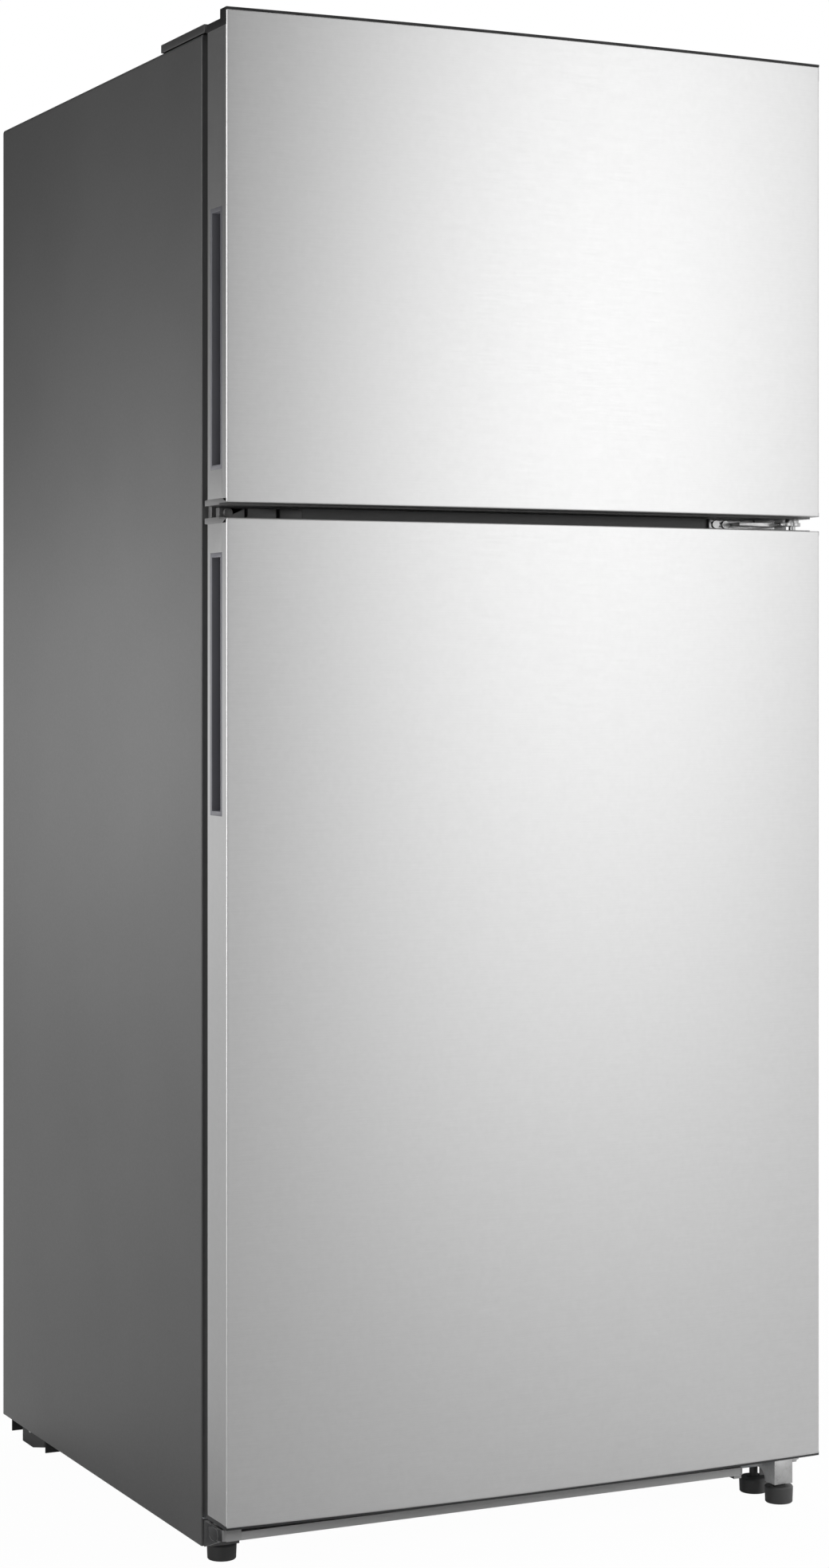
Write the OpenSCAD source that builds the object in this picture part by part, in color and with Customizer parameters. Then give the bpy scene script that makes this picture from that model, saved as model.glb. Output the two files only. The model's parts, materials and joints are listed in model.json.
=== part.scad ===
// Top freezer refrigerator: an insulated steel cabinet with two doors hinged on the right.
// Lengths are in millimetres. X runs from left to right as seen from the front, Y from
// front to back and Z up from the floor. Every piece is drawn with Y = 0 at the cabinet's
// front plane, and stand() then moves it so that the origin lies under the middle.

/* [Cabinet] */
// Width of the cabinet and of both doors
cab_w = 752; // [740:1:780]
// Depth of the cabinet behind its front plane
cab_d = 687.5; // [670:0.5:710]
// Height of the cabinet's top above the floor
cab_top = 1672.2; // [1650:0.1:1700]
// Height of the side panels' lower edge above the floor
side_low = 21; // [18:0.5:26]
// Thickness of the painted steel sheet of the wrap and the back
wrap_t = 0.8; // [0.6:0.1:1]
// Radius of the bend along both top edges
bend_r = 5; // [3:0.5:8]
// Width of the side returns that the gaskets seal on
return_w = 42; // [40:1:44]
// Height of the bottom deck's underside above the floor
deck_z = 52; // [51:0.5:54]
// Thickness of the bottom deck's sheet
deck_t = 1; // [0.8:0.1:1.5]

/* [Compartments] */
// Thickness of the moulded liners
liner_t = 1.5; // [1:0.1:2]
// Width of the liners' front flange, tucked behind the returns
flange_w = 20; // [16:1:24]
// Side wall of the fresh food compartment, from the cabinet's side to the liner's inside
fridge_wall = 45; // [44:1:48]
// Side wall of the freezer compartment
freezer_wall = 55; // [50:1:58]
// Back wall of the fresh food compartment
fridge_back = 50; // [45:1:60]
// Back wall of the freezer compartment
freezer_back = 60; // [55:1:70]
// Floor of the fresh food compartment above the deck
floor_wall = 55; // [50:1:60]
// Roof of the freezer compartment below the cabinet's top
roof_wall = 60; // [50:1:65]
// Height of the freezer section, from the middle of the gap between the doors to the top
freezer_section = 523.3; // [505:0.1:540]
// Thickness of the partition between the compartments
partition = 80; // [74:1:90]
// Depth of the machine bay at the back
bay_d = 167; // [160:1:175]
// Height of the machine bay's roof above the floor
bay_top = 270; // [260:1:280]
// Insulation over the machine bay
bay_roof = 50; // [40:1:55]
// Insulation in front of the machine bay
bay_front = 47; // [40:1:50]

/* [Doors] */
// Gap between the cabinet and the doors, which the gaskets fill
gasket_gap = 11.5; // [10.5:0.5:14]
// Thickness of the doors at their side edges
door_t = 53; // [51:1:58]
// How far the middle of a door's front bows out past its edges
door_bow = 11; // [6:0.5:15]
// Thickness of the stainless steel skin
skin_t = 0.8; // [0.6:0.1:1]
// Top of the freezer door above the cabinet's top
door_rise = 16.6; // [14:0.1:18]
// Height of the fresh food door's lower edge above the floor
door_low = 57; // [56.5:0.5:59]
// Gap between the two steel fronts
door_gap = 16.8; // [15:0.2:18]
// Thickness of the end caps inside the skin
cap_t = 5; // [4:0.5:9]
// How far a cap reaches past the steel into the gap between the doors
cap_reach = 1.8; // [1:0.1:2.2]
// How far the caps and the liner stand behind the steel sides
cap_back = 3; // [2:0.5:4]
// How far the fresh food door's lower cap reaches below the steel
cap_low = 2.2; // [1:0.1:2.5]
// Thickness of the top cap's edge that lies over the steel front
cap_edge = 2.6; // [1.5:0.1:3]
// Height of the top cap's side that shows between its step and the steel
cap_band = 9.3; // [7:0.1:11]
// Width of the tabs at the left ends of the caps in the gap
tab_w = 10; // [6:1:14]
// Lower step of the freezer door's top cap, below the door's top
cap_step = 10; // [9:0.5:11]
// Thickness of the lip at the front of that cap, at the door's edges
lip_t = 18; // [13:0.5:20]
// Thickness of the door's inner panel
panel_t = 2; // [1.5:0.1:2.5]
// Width of the raised ridge round each inner panel
ridge_w = 18; // [14:1:22]
// Height of that ridge above the inner panel
ridge_h = 40; // [30:1:42]
// Clearance round that ridge inside the compartment
ridge_clear = 13; // [11:1:16]
// Width of the gasket
gasket_w = 18; // [14:1:19]
// Distance of the gasket's outer edge from the door's sides
gasket_in = 22; // [21:0.5:24]

/* [Hinges] */
// Distance of the hinge axis from the right side of the doors
hinge_in = 20; // [19:0.5:21]
// Distance of the hinge axis in front of the cabinet
hinge_out = 36.5; // [36:0.5:38]
// Radius of the hinge pins
pin_r = 4; // [3:0.1:5]
// How deep the pins go into the doors
pin_len = 22; // [16:1:26]
// Running clearance round the pins
pin_fit = 0.05; // [0.02:0.01:0.1]
// Thickness of the hinge leaves
leaf_t = 4; // [3:0.5:4.5]
// Radius of the leaves' round ends
leaf_r = 10; // [8:0.5:10.5]
// Clearance between the top hinge's leaf and the freezer door's lip
leaf_clear = 1; // [0.5:0.1:2]
// Gap between a hinge collar and the door that rests on it
seat_gap = 0.3; // [0.2:0.1:0.6]

/* [Handles] */
// Depth of the finger pockets in the doors' left sides
pocket_depth = 28; // [20:1:34]
// Width of the finger pockets
pocket_w = 24; // [18:1:25]
// Length of the freezer door's pocket
freezer_pocket = 273; // [220:1:300]
// Length of the fresh food door's pocket
fridge_pocket = 274; // [220:1:300]
// Distance of each pocket's rim from the gap between the doors
pocket_from_gap = 41.5; // [36:0.5:60]
// How far the pockets stand behind the middle of the doors' sides
pocket_behind = 2.5; // [0:0.5:4]
// Wall of the pocket and thickness of its rim
pocket_t = 2; // [1.5:0.1:3]
// Width of the rim round a pocket
rim_w = 5; // [4:0.5:6]

/* [Shelves and bins] */
// Height of the wire shelf above the freezer's floor
freezer_shelf_h = 205; // [170:1:240]
// Radius of the shelf's wires
wire_r = 2.5; // [2:0.1:3]
// Wires across the freezer shelf
wires = 22; // [14:1:28]
// Distance of the upper glass shelf below the compartment's roof
top_shelf_down = 296.4; // [270:0.1:310]
// Distance between the two glass shelves
shelf_pitch = 240; // [210:5:250]
// Thickness of the shelf frames
frame_t = 12; // [10:1:14]
// Width of the shelf frames
frame_w = 14; // [11:1:18]
// Thickness of the glass
glass_t = 4; // [3:0.5:5]
// Front edge of the shelves behind the cabinet's front
shelf_front = 108; // [104:1:116]
// Wall of the door bins and drawers
bin_t = 2.4; // [2:0.1:3]
// How far the fresh food door's bins reach into the cabinet
fridge_bin_in = 95; // [85:1:98]
// How far the freezer door's bins reach into the cabinet
freezer_bin_in = 75; // [60:1:85]
// Height of a bin's walls
bin_h = 85; // [70:1:100]
// Height of the lowest bins above the compartments' floors
low_bin_h = 26; // [20:1:34]
// Distance of the dairy box's floor below the compartment's roof
dairy_down = 251.4; // [240:0.1:270]
// Drop from the dairy box to the upper one of the full bins
upper_bin_drop = 150; // [130:5:170]
// Distance between the two upper full bins
full_bin_pitch = 230; // [200:5:240]
// Distance between the two freezer bins
freezer_bin_pitch = 189; // [150:1:200]
// Height of the dairy box
dairy_box_h = 78; // [60:1:85]
// Front of the crisper drawers behind the cabinet's front
crisper_front = 140; // [134:1:146]
// Distance between the two crispers and between them and the hinge side
crisper_gap = 12; // [8:1:16]
// Distance of the crispers' outer sides from the compartment's walls
crisper_side = 31; // [30:1:45]

/* [Feet and rollers] */
// Radius of the left levelling foot
left_foot_r = 16.5; // [15:0.5:19]
// Radius of the right levelling feet
right_foot_r = 17.2; // [16:0.1:21]
// Height of the feet
foot_h = 17.5; // [15:0.5:19]
// Radius of the feet's threaded studs
stud_r = 5; // [4:0.1:6]
// Distance of the left foot from the cabinet's left side
left_foot_in = 31; // [28:1:36]
// Distance of the right feet from the cabinet's right side
right_foot_in = 43; // [40:1:44]
// Radius of the rear rollers
roller_r = 24.5; // [22:0.5:26]
// Width of the rear rollers
roller_w = 15; // [12:1:17]
// Distance of the rollers' axis in front of the cabinet's back
roller_back = 99; // [92:1:106]
// Radius of the roller axles
axle_r = 4; // [3:0.1:5]

/* [Machine bay] */
// Radius of the compressor's shell
compressor_r = 72; // [62:1:76]
// Height of the compressor
compressor_h = 165; // [140:1:175]
// Distance of the compressor's middle from the right side
compressor_in = 150; // [140:1:180]
// Radius of the condenser fan
condenser_fan_r = 62; // [50:1:68]
// Radius of the refrigerant tubes
tube_r = 3; // [2.5:0.1:4]
// Radius of the evaporator fan
evaporator_fan_r = 48; // [40:1:52]

/* [Hidden] */
$fn = 64;
eps = 1; // how far a cut runs past the face that it opens

half_w = cab_w / 2;
inner_w = half_w - wrap_t;
back_y = cab_d - wrap_t;
gap_z = cab_top - freezer_section;
door_front = gasket_gap + door_t; // the doors' side edges, in front of the cabinet
depth_all = cab_d + door_front + door_bow;
front_y = door_front + door_bow - depth_all / 2;

fridge_x = half_w - fridge_wall;
fridge_y = cab_d - fridge_back;
fridge_z = [deck_z + floor_wall, gap_z - partition / 2];
freezer_x = half_w - freezer_wall;
freezer_y = cab_d - freezer_back;
freezer_z = [gap_z + partition / 2, cab_top - roof_wall];
bay_y = cab_d - bay_d;
hump_y = bay_y - bay_front;
hump_z = bay_top + bay_roof;

bow_r = (half_w * half_w + door_bow * door_bow) / (2 * door_bow);
bow_y = bow_r - door_front - door_bow; // centre of the bow's circle
hinge_x = half_w - hinge_in;
hinge_y = -hinge_out;
door_open = 120; // degrees that the doors swing
lip_y = -door_front + lip_t; // rear face of the lip on the freezer door's cap
// how far right of the axis the lip's rear corner stands once the door is open
lip_swing = hinge_in * cos(door_open) - (lip_y - hinge_y) * sin(door_open);

freezer_front = [gap_z + door_gap / 2, cab_top + door_rise];
freezer_side = [gap_z + door_gap / 2 + cap_t, cab_top + door_rise - cap_step - cap_band];
fridge_front = [door_low, gap_z - door_gap / 2];
fridge_side = [door_low + cap_t / 2, gap_z - door_gap / 2 - cap_t];
cap_front_y = -door_front + 20; // front end of the caps' lower step into the gap
tab_y = [cap_front_y, -3];
tab_h = cap_t - 0.6; // leaves a groove under the steel side

// ---------------------------------------------------------------- helpers

// Moves a piece from the cabinet's front plane to the part's own origin.
module stand() {
    translate([0, front_y, 0]) children();
}

// A block from one corner to the other, given as a range along each axis.
module block(x, y, z) {
    translate([x[0], y[0], z[0]]) cube([x[1] - x[0], y[1] - y[0], z[1] - z[0]]);
}

// A rectangular ring in the plane of the doors, between two blocks of one depth.
module ring(half, band, y, z) {
    difference() {
        block([-half, half], y, z);
        block([-half + band, half - band], [y[0] - eps, y[1] + eps], [z[0] + band, z[1] - band]);
    }
}

// An open box with walls and a floor of one thickness.
module tub(x, y, z, t) {
    difference() {
        block(x, y, z);
        block([x[0] + t, x[1] - t], [y[0] + t, y[1] - t], [z[0] + t, z[1] + eps]);
    }
}

// A cylinder along X from one place to another.
module rod_x(r, x, y, z) {
    translate([x[0], y, z]) rotate([0, 90, 0]) cylinder(r = r, h = x[1] - x[0]);
}

// A cylinder along Y from one place to another.
module rod_y(r, x, y, z) {
    translate([x, y[0], z]) rotate([-90, 0, 0]) cylinder(r = r, h = y[1] - y[0]);
}

// Half a ring of tube, in the plane of its first axis and Z, open towards -X.
module u_bend(bend, r) {
    rotate([90, 0, 0]) intersection() {
        rotate_extrude() translate([bend, 0]) circle(r = r, $fn = 24);
        translate([0, -2 * bend, -2 * r]) cube([4 * bend, 4 * bend, 4 * r]);
    }
}

// A tube that runs to and fro along X, one run over the other, with a bend at each end.
module serpentine(x, y, z, rows, pitch, r) {
    for (i = [0 : rows - 1]) rod_x(r, x, y, z + i * pitch);
    for (i = [0 : rows - 2]) {
        right = i % 2 == 0;
        translate([right ? x[1] : x[0], y, z + (i + 0.5) * pitch])
            mirror([right ? 0 : 1, 0, 0]) u_bend(pitch / 2, r);
    }
}

// A fan rotor round Z: a hub, flat pitched blades and a shaft behind it.
module rotor(r, hub_r, hub_h, blades, shaft_r, shaft_len) {
    cylinder(r = hub_r, h = hub_h);
    for (i = [0 : blades - 1]) {
        rotate([0, 0, i * 360 / blades]) translate([hub_r - 2, 0, hub_h / 2])
            rotate([35, 0, 0]) translate([0, -0.42 * r / 2, -0.8])
                cube([r - hub_r, 0.42 * r, 1.6]);
    }
    translate([0, 0, -shaft_len]) cylinder(r = shaft_r, h = shaft_len + hub_h / 2);
}

// The cabinet's outline seen from the front, with its two bent top corners.
module wrap_outline(inset) {
    r = bend_r - inset;
    w = half_w - inset;
    top = cab_top - inset;
    translate([-w, side_low]) square([2 * w, top - r - side_low]);
    translate([-w + r, top - r - eps]) square([2 * (w - r), r + eps]);
    for (side = [-1, 1]) translate([side * (w - r), top - r]) circle(r = r);
}

// That outline as a solid through a range of depth.
module wrap_solid(inset, y) {
    translate([0, y[1], 0]) rotate([90, 0, 0])
        linear_extrude(height = y[1] - y[0]) wrap_outline(inset);
}

// ---------------------------------------------------------------- cabinet

// A compartment's inside, grown outwards by the liner's thickness where grow is given.
module freezer_space(grow, y0) {
    block([-freezer_x - grow, freezer_x + grow], [y0, freezer_y + grow],
          [freezer_z[0] - grow, freezer_z[1] + grow]);
}

module fridge_space(grow, y0) {
    difference() {
        block([-fridge_x - grow, fridge_x + grow], [y0, fridge_y + grow],
              [fridge_z[0] - grow, fridge_z[1] + grow]);
        block([-half_w, half_w], [hump_y + grow, cab_d], [0, hump_z - grow]);
    }
}

// The flange round a compartment's mouth.
module flange(half, z) {
    block([-half - flange_w, half + flange_w], [wrap_t, wrap_t + liner_t],
          [z[0] - flange_w, z[1] + flange_w]);
}

// Shafts of the screws that hold the hinges, all of one radius.
screw_r = 2.2;
screw_len = 14;
top_screws = [for (x = [-58, -14], y = [24, 72]) [hinge_x + x, y]];
center_screws = [for (x = [-86, -73]) hinge_x + x];
lower_screws = [for (x = [-48, -34]) hinge_x + x];
center_screw_z = gap_z;
lower_screw_z = deck_z + 10;

module hinge_shafts(r) {
    for (p = top_screws) translate([p[0], p[1], cab_top - screw_len])
        cylinder(r = r, h = screw_len + leaf_t, $fn = 24);
    for (x = center_screws) rod_y(r, x, [-leaf_t, screw_len], center_screw_z, $fn = 24);
    for (x = lower_screws) rod_y(r, x, [-leaf_t, screw_len], lower_screw_z, $fn = 24);
}

module outer_cabinet() {
    color("dimgray") stand() difference() {
        wrap_solid(0, [0, cab_d]);
        wrap_solid(wrap_t, [wrap_t, cab_d + eps]);
        // the mouth inside the returns, and the open underside
        block([-half_w + return_w, half_w - return_w], [-eps, wrap_t + eps],
              [side_low - eps, cab_top - roof_wall + 3]);
        hinge_shafts(screw_r + 0.2);
    }
}

module rear_panel() {
    color("silver") stand() intersection() {
        wrap_solid(wrap_t, [back_y, cab_d]);
        block([-half_w, half_w], [0, cab_d], [bay_top + deck_t, cab_top]);
    }
}

module foam_insulation() {
    color("khaki") stand() difference() {
        intersection() {
            wrap_solid(wrap_t, [wrap_t, back_y]);
            block([-half_w, half_w], [0, cab_d], [deck_z + deck_t, cab_top]);
        }
        freezer_space(liner_t, 0);
        fridge_space(liner_t, 0);
        flange(freezer_x, freezer_z);
        flange(fridge_x, fridge_z);
        block([-half_w, half_w], [bay_y - deck_t, cab_d], [0, bay_top + deck_t]);
        hinge_shafts(screw_r + 0.2);
    }
}

module freezer_liner() {
    color("white") stand() difference() {
        union() {
            freezer_space(liner_t, wrap_t);
            flange(freezer_x, freezer_z);
        }
        freezer_space(0, 0);
    }
}

// Ledges on both side walls, which carry the shelves.
ledge_w = 9;
ledge_h = 8;
shelf_back = fridge_y - 34;
shelf_heights = [for (i = [1, 0]) fridge_z[1] - top_shelf_down - i * shelf_pitch];
crisper_top = hump_z - frame_t;

module ledges(z, y) {
    for (side = [-1, 1]) translate([side * (fridge_x - ledge_w / 2), 0, 0])
        block([-ledge_w / 2, ledge_w / 2], y, [z - ledge_h, z]);
}

module fridge_liner() {
    color("white") stand() {
        difference() {
            union() {
                fridge_space(liner_t, wrap_t);
                flange(fridge_x, fridge_z);
            }
            fridge_space(0, 0);
        }
        for (z = shelf_heights) ledges(z, [shelf_front + 10, shelf_back]);
        ledges(crisper_top, [shelf_front + 22, hump_y + eps]);
    }
}

module center_mullion() {
    color("dimgray") stand() difference() {
        block([-half_w + return_w, half_w - return_w], [0, wrap_t],
              [fridge_z[1] - 3, freezer_z[0] + 3]);
        hinge_shafts(screw_r + 0.2);
    }
}

// Where the studs of the two feet under the deck stand.
left_foot_at = [-half_w + left_foot_in, 24];
right_foot_at = [half_w - right_foot_in, 12];
boss_r = stud_r + 3.5;
boss_h = 20;

module bottom_deck() {
    color("darkgray") stand() difference() {
        union() {
            block([-inner_w, inner_w], [wrap_t, bay_y], [deck_z, deck_z + deck_t]);
            block([-inner_w, inner_w], [bay_y - deck_t, bay_y], [deck_z, bay_top + deck_t]);
            block([-inner_w, inner_w], [bay_y - deck_t, back_y], [bay_top, bay_top + deck_t]);
            // front flange between the returns
            block([-half_w + return_w, half_w - return_w], [0, wrap_t],
                  [deck_z - boss_h, fridge_z[0] - 3]);
            // threaded bosses for the feet
            for (p = [left_foot_at, right_foot_at]) translate([p[0], p[1], deck_z - boss_h])
                cylinder(r = boss_r, h = boss_h + deck_t / 2);
        }
        for (p = [left_foot_at, right_foot_at]) translate([p[0], p[1], deck_z - boss_h - eps])
            cylinder(r = stud_r + pin_fit, h = boss_h + eps);
        hinge_shafts(screw_r + 0.2);
    }
}

// ---------------------------------------------------------------- feet, rollers and rail

pan_z = 27; // underside of the pan that carries the compressor
pan_t = 2;
pan_y = [bay_y + 4, bay_y + 135];
roller_y = cab_d - roller_back;
roller_out = inner_w - 1; // outer face of the roller's axle head
plate_t = 1.5; // the outer plate of a roller's bracket, inside the axle head
roller_room = plate_t + 2; // from the axle head's outer face to the roller
cheek_x = roller_out - roller_room - roller_w - 4;

// The pan with its down-turned lips and cheeks, cut away for the rollers.
module pan_body() {
    difference() {
        union() {
            block([-inner_w, inner_w], pan_y, [pan_z, pan_z + pan_t]);
            for (y = [pan_y[0], pan_y[1] - pan_t])
                block([-inner_w, inner_w], [y, y + pan_t], [6.5, pan_z + pan_t]);
            for (side = [-1, 1]) translate([side * (cheek_x - pan_t / 2), 0, 0])
                block([-pan_t / 2, pan_t / 2], pan_y, [roller_r - 12, pan_z + 22]);
        }
        for (side = [-1, 1]) {
            translate([side * (cheek_x + half_w), 0, 0])
                block([-half_w, half_w], [roller_y - roller_r - 4, roller_y + roller_r + 4],
                      [0, pan_z + 10]);
            // notches round the axles' inner ends
            translate([side * (cheek_x - pan_t - 4), roller_y, 0])
                block([-4, 4], [-8, 8], [pan_z - eps, pan_z + pan_t + eps]);
        }
    }
}

module base_pan() {
    color("black") stand() difference() {
        union() {
            pan_body();
            // outer plates of the rollers' brackets
            for (side = [-1, 1])
                translate([side * (roller_out - 1 - plate_t / 2) - plate_t / 2, roller_y, 0])
                    rotate([90, 0, 90]) linear_extrude(height = plate_t) polygon([
                        [30, 1.5], [30, pan_z + pan_t], [-54, pan_z + pan_t], [-54, 11], [-10, 1.5],
                    ]);
        }
        for (side = [-1, 1]) mirror([side < 0 ? 1 : 0, 0, 0])
            rod_x(axle_r + 0.1, [cheek_x - pan_t - eps, half_w], roller_y, roller_r);
    }
}

module roller_axles() {
    color("silver") stand() for (side = [-1, 1]) mirror([side < 0 ? 1 : 0, 0, 0]) {
        rod_x(axle_r, [cheek_x - pan_t - 6, roller_out], roller_y, roller_r);
        rod_x(axle_r + 2.5, [roller_out - 1, roller_out], roller_y, roller_r);
        rod_x(axle_r + 1.2, [cheek_x - pan_t - 3, cheek_x - pan_t], roller_y, roller_r);
    }
}

module roller() {
    translate([cheek_x + 4, roller_y, roller_r]) rotate([0, 90, 0]) difference() {
        rotate_extrude() polygon([
            [axle_r + pin_fit, 0], [roller_r - 6, 0], [roller_r - 5, 1], [roller_r - 1.5, 1],
            [roller_r, 2.5], [roller_r, roller_w - 2.5], [roller_r - 1.5, roller_w - 1],
            [roller_r - 5, roller_w - 1], [roller_r - 6, roller_w], [axle_r + pin_fit, roller_w],
        ]);
        for (a = [0 : 60 : 300]) rotate([0, 0, a]) translate([(roller_r + axle_r) / 2 - 1, 0, -eps])
            cylinder(r = 3, h = roller_w + 2 * eps, $fn = 24);
    }
}

module left_roller() {
    color("black") stand() mirror([1, 0, 0]) roller();
}

module right_roller() {
    color("black") stand() roller();
}

// A levelling foot: a plastic cup on a threaded stud that reaches to a given height.
module foot(r, h, top) {
    rotate_extrude() polygon([
        [0, 0], [r - 1.5, 0], [r - 0.6, 1], [r, h - 1.5], [r - 1, h],
        [stud_r + 3, h], [stud_r + 3, h + 1], [stud_r, h + 1], [stud_r, top - 1],
        [stud_r - 1, top], [0, top],
    ]);
}

module left_foot() {
    color("black") stand() translate([left_foot_at[0], left_foot_at[1], 0])
        foot(left_foot_r, foot_h, deck_z - 1);
}

module right_foot() {
    color("black") stand() translate([right_foot_at[0], right_foot_at[1], 0])
        foot(right_foot_r, foot_h, deck_z - 1);
}

hinge_foot_x = hinge_x - 21.5;
hinge_foot_y = hinge_y - 5;
socket_z = [foot_h + 5, deck_z - 5];

module hinge_foot() {
    color("dimgray") stand() translate([hinge_foot_x, hinge_foot_y, 0])
        foot(right_foot_r - 0.5, foot_h + 2, socket_z[1] - 3);
}

end_cap_r = 8; // rounded corner of the rail's end cap
rail_x = [-half_w + 0.5 + end_cap_r, half_w - 97];
rail_y = -45.5;
rail_z = [37, 46.5];
rail_t = 1.2;

module front_rail() {
    color("gray") stand() {
        // front, and the hem along its lower edge
        block(rail_x, [rail_y, rail_y + rail_t], [rail_z[0] + 2, rail_z[1]]);
        block(rail_x, [rail_y + 1, rail_y + 4], [rail_z[0], rail_z[0] + 3]);
        block(rail_x, [rail_y, 0], [rail_z[1] - rail_t, rail_z[1]]);
        block(rail_x, [-rail_t, 0], [rail_z[0] + 2, rail_z[1]]);
        // ribs across the channel
        for (i = [1 : 8]) translate([rail_x[0] + i * (rail_x[1] - rail_x[0]) / 9, 0, 0])
            block([-rail_t / 2, rail_t / 2], [rail_y, 0], [rail_z[0] + 2, rail_z[1]]);
    }
}

// The oval plug on the cheek of the end cap, and the dish that it sits in.
module cheek_plug(r, x) {
    hull() for (y = [-6, 6]) rod_x(r, [-half_w + x[0], -half_w + x[1]], rail_y + 19 + y, rail_z[0] + 6);
}

module rail_end_cap() {
    sleeve = [rail_z[0] + 1.3, rail_z[1] + 4.2];
    front = rail_y - rail_t;
    bend = [-half_w + 0.5 + end_cap_r, front + end_cap_r];
    color("dimgray") stand() {
        // cheek at the left end, whose lower edge rises towards the front
        difference() {
            translate([-half_w + 0.5, 0, 0]) rotate([90, 0, 90]) linear_extrude(height = 3.5)
                polygon([[0, side_low + 1], [0, sleeve[1]], [bend[1], sleeve[1]], [bend[1], sleeve[0] - 2]]);
            cheek_plug(8, [-eps, 1.5]);
        }
        cheek_plug(6.5, [0.2, 2]);
        // rounded corner and the sleeve over the rail's front
        intersection() {
            translate([bend[0], bend[1], sleeve[0]]) difference() {
                cylinder(r = end_cap_r, h = sleeve[1] - sleeve[0]);
                translate([0, 0, -eps])
                    cylinder(r = end_cap_r - rail_t, h = sleeve[1] - sleeve[0] + 2 * eps);
            }
            block([-half_w, bend[0]], [front, bend[1]], sleeve);
        }
        block([bend[0], -half_w + 25], [front, rail_y], sleeve);
        // plug in the rail's right end, with the pad under it
        block([rail_x[1], rail_x[1] + 3], [rail_y, 0], [rail_z[0] + 1, rail_z[1]]);
        block([rail_x[1] - 6, rail_x[1] + 4], [rail_y + 4, rail_y + 30], [rail_z[0] - 4, rail_z[0] + 1.5]);
    }
}

// ---------------------------------------------------------------- hinges and covers

leaf_z = cab_top + door_rise - cap_step + 1; // underside of the top hinge's raised leaf
cover_y = [-2, 130];

module top_hinge() {
    color("silver") stand() difference() {
        union() {
            block([hinge_x - 72, hinge_x], [8, 92], [cab_top, cab_top + leaf_t]);
            block([hinge_x - 2 * leaf_r, hinge_x], [4, 8], [cab_top, leaf_z + leaf_t]);
            // the raised leaf ends to the left of where the open door's lip swings
            block([hinge_x - 2 * leaf_r, hinge_x + min(0, lip_swing) - leaf_clear],
                  [hinge_y, 8], [leaf_z, leaf_z + leaf_t]);
            translate([hinge_x, hinge_y, leaf_z]) cylinder(r = leaf_r, h = leaf_t);
            translate([hinge_x - leaf_r, hinge_y, leaf_z]) cylinder(r = leaf_r, h = leaf_t);
            translate([hinge_x, hinge_y, leaf_z - pin_len]) cylinder(r = pin_r, h = pin_len + leaf_t);
        }
        for (p = top_screws) translate([p[0], p[1], cab_top - eps])
            cylinder(r = screw_r + 0.3, h = leaf_t + 2 * eps, $fn = 24);
    }
}

center_leaf = [gap_z - leaf_t / 2, gap_z + leaf_t / 2];
collar_r = pin_r + 4;
freezer_seat = freezer_front[0] - cap_reach; // lowest face of the freezer door's cap
fridge_roof = fridge_front[1] + cap_reach; // highest face of the fresh food door's cap

module center_hinge() {
    color("silver") stand() difference() {
        union() {
            // plate against the mullion and leaf that carries both pins
            block([hinge_x - 94, hinge_x - 4], [-leaf_t, 0], [gap_z - 6, gap_z + 6]);
            block([hinge_x - 2 * leaf_r, hinge_x], [hinge_y, 0], center_leaf);
            block([hinge_x - 66, hinge_x - leaf_r], [-26, 0], center_leaf);
            translate([hinge_x, hinge_y, center_leaf[0]]) cylinder(r = leaf_r, h = leaf_t);
            translate([hinge_x - leaf_r, hinge_y, center_leaf[0]]) cylinder(r = leaf_r, h = leaf_t);
            translate([hinge_x, hinge_y, fridge_roof - pin_len])
                cylinder(r = pin_r, h = freezer_seat - fridge_roof + 2 * pin_len);
            // collar that the freezer door turns on
            translate([hinge_x, hinge_y, center_leaf[1]])
                cylinder(r = collar_r, h = freezer_seat - seat_gap - center_leaf[1]);
        }
        for (x = center_screws) rod_y(screw_r + 0.3, x, [-leaf_t - eps, eps], center_screw_z, $fn = 24);
    }
}

arm_x = [hinge_x - 33.5, hinge_x - 9];
arm_y = hinge_foot_y - 10;
web_r = 22; // bend between the block's side and the plate on the cabinet
door_seat = door_low - cap_low; // lowest face of the fresh food door's cap

// The web bent from the block's side to the plate, whose lower edge rises in a curve.
module hinge_web() {
    bend = [arm_x[0] + leaf_t - web_r, -web_r];
    intersection() {
        translate([0, 0, socket_z[0]]) linear_extrude(height = deck_z - socket_z[0]) {
            translate([arm_x[0], arm_y]) square([leaf_t, bend[1] - arm_y]);
            intersection() {
                translate(bend) difference() {
                    circle(r = web_r);
                    circle(r = web_r - leaf_t);
                }
                translate([bend[0], bend[1]]) square(web_r);
            }
        }
        union() {
            block([bend[0], arm_x[1]], [arm_y, 0], [socket_z[0] + 14, deck_z]);
            block([bend[0], arm_x[1]], [arm_y, -30], [socket_z[0], deck_z]);
            difference() {
                block([bend[0], arm_x[1]], [-30 - eps, -16], [socket_z[0], deck_z]);
                rod_x(14, [bend[0] - eps, arm_x[1] + eps], -16, socket_z[0]);
            }
        }
    }
}

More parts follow.
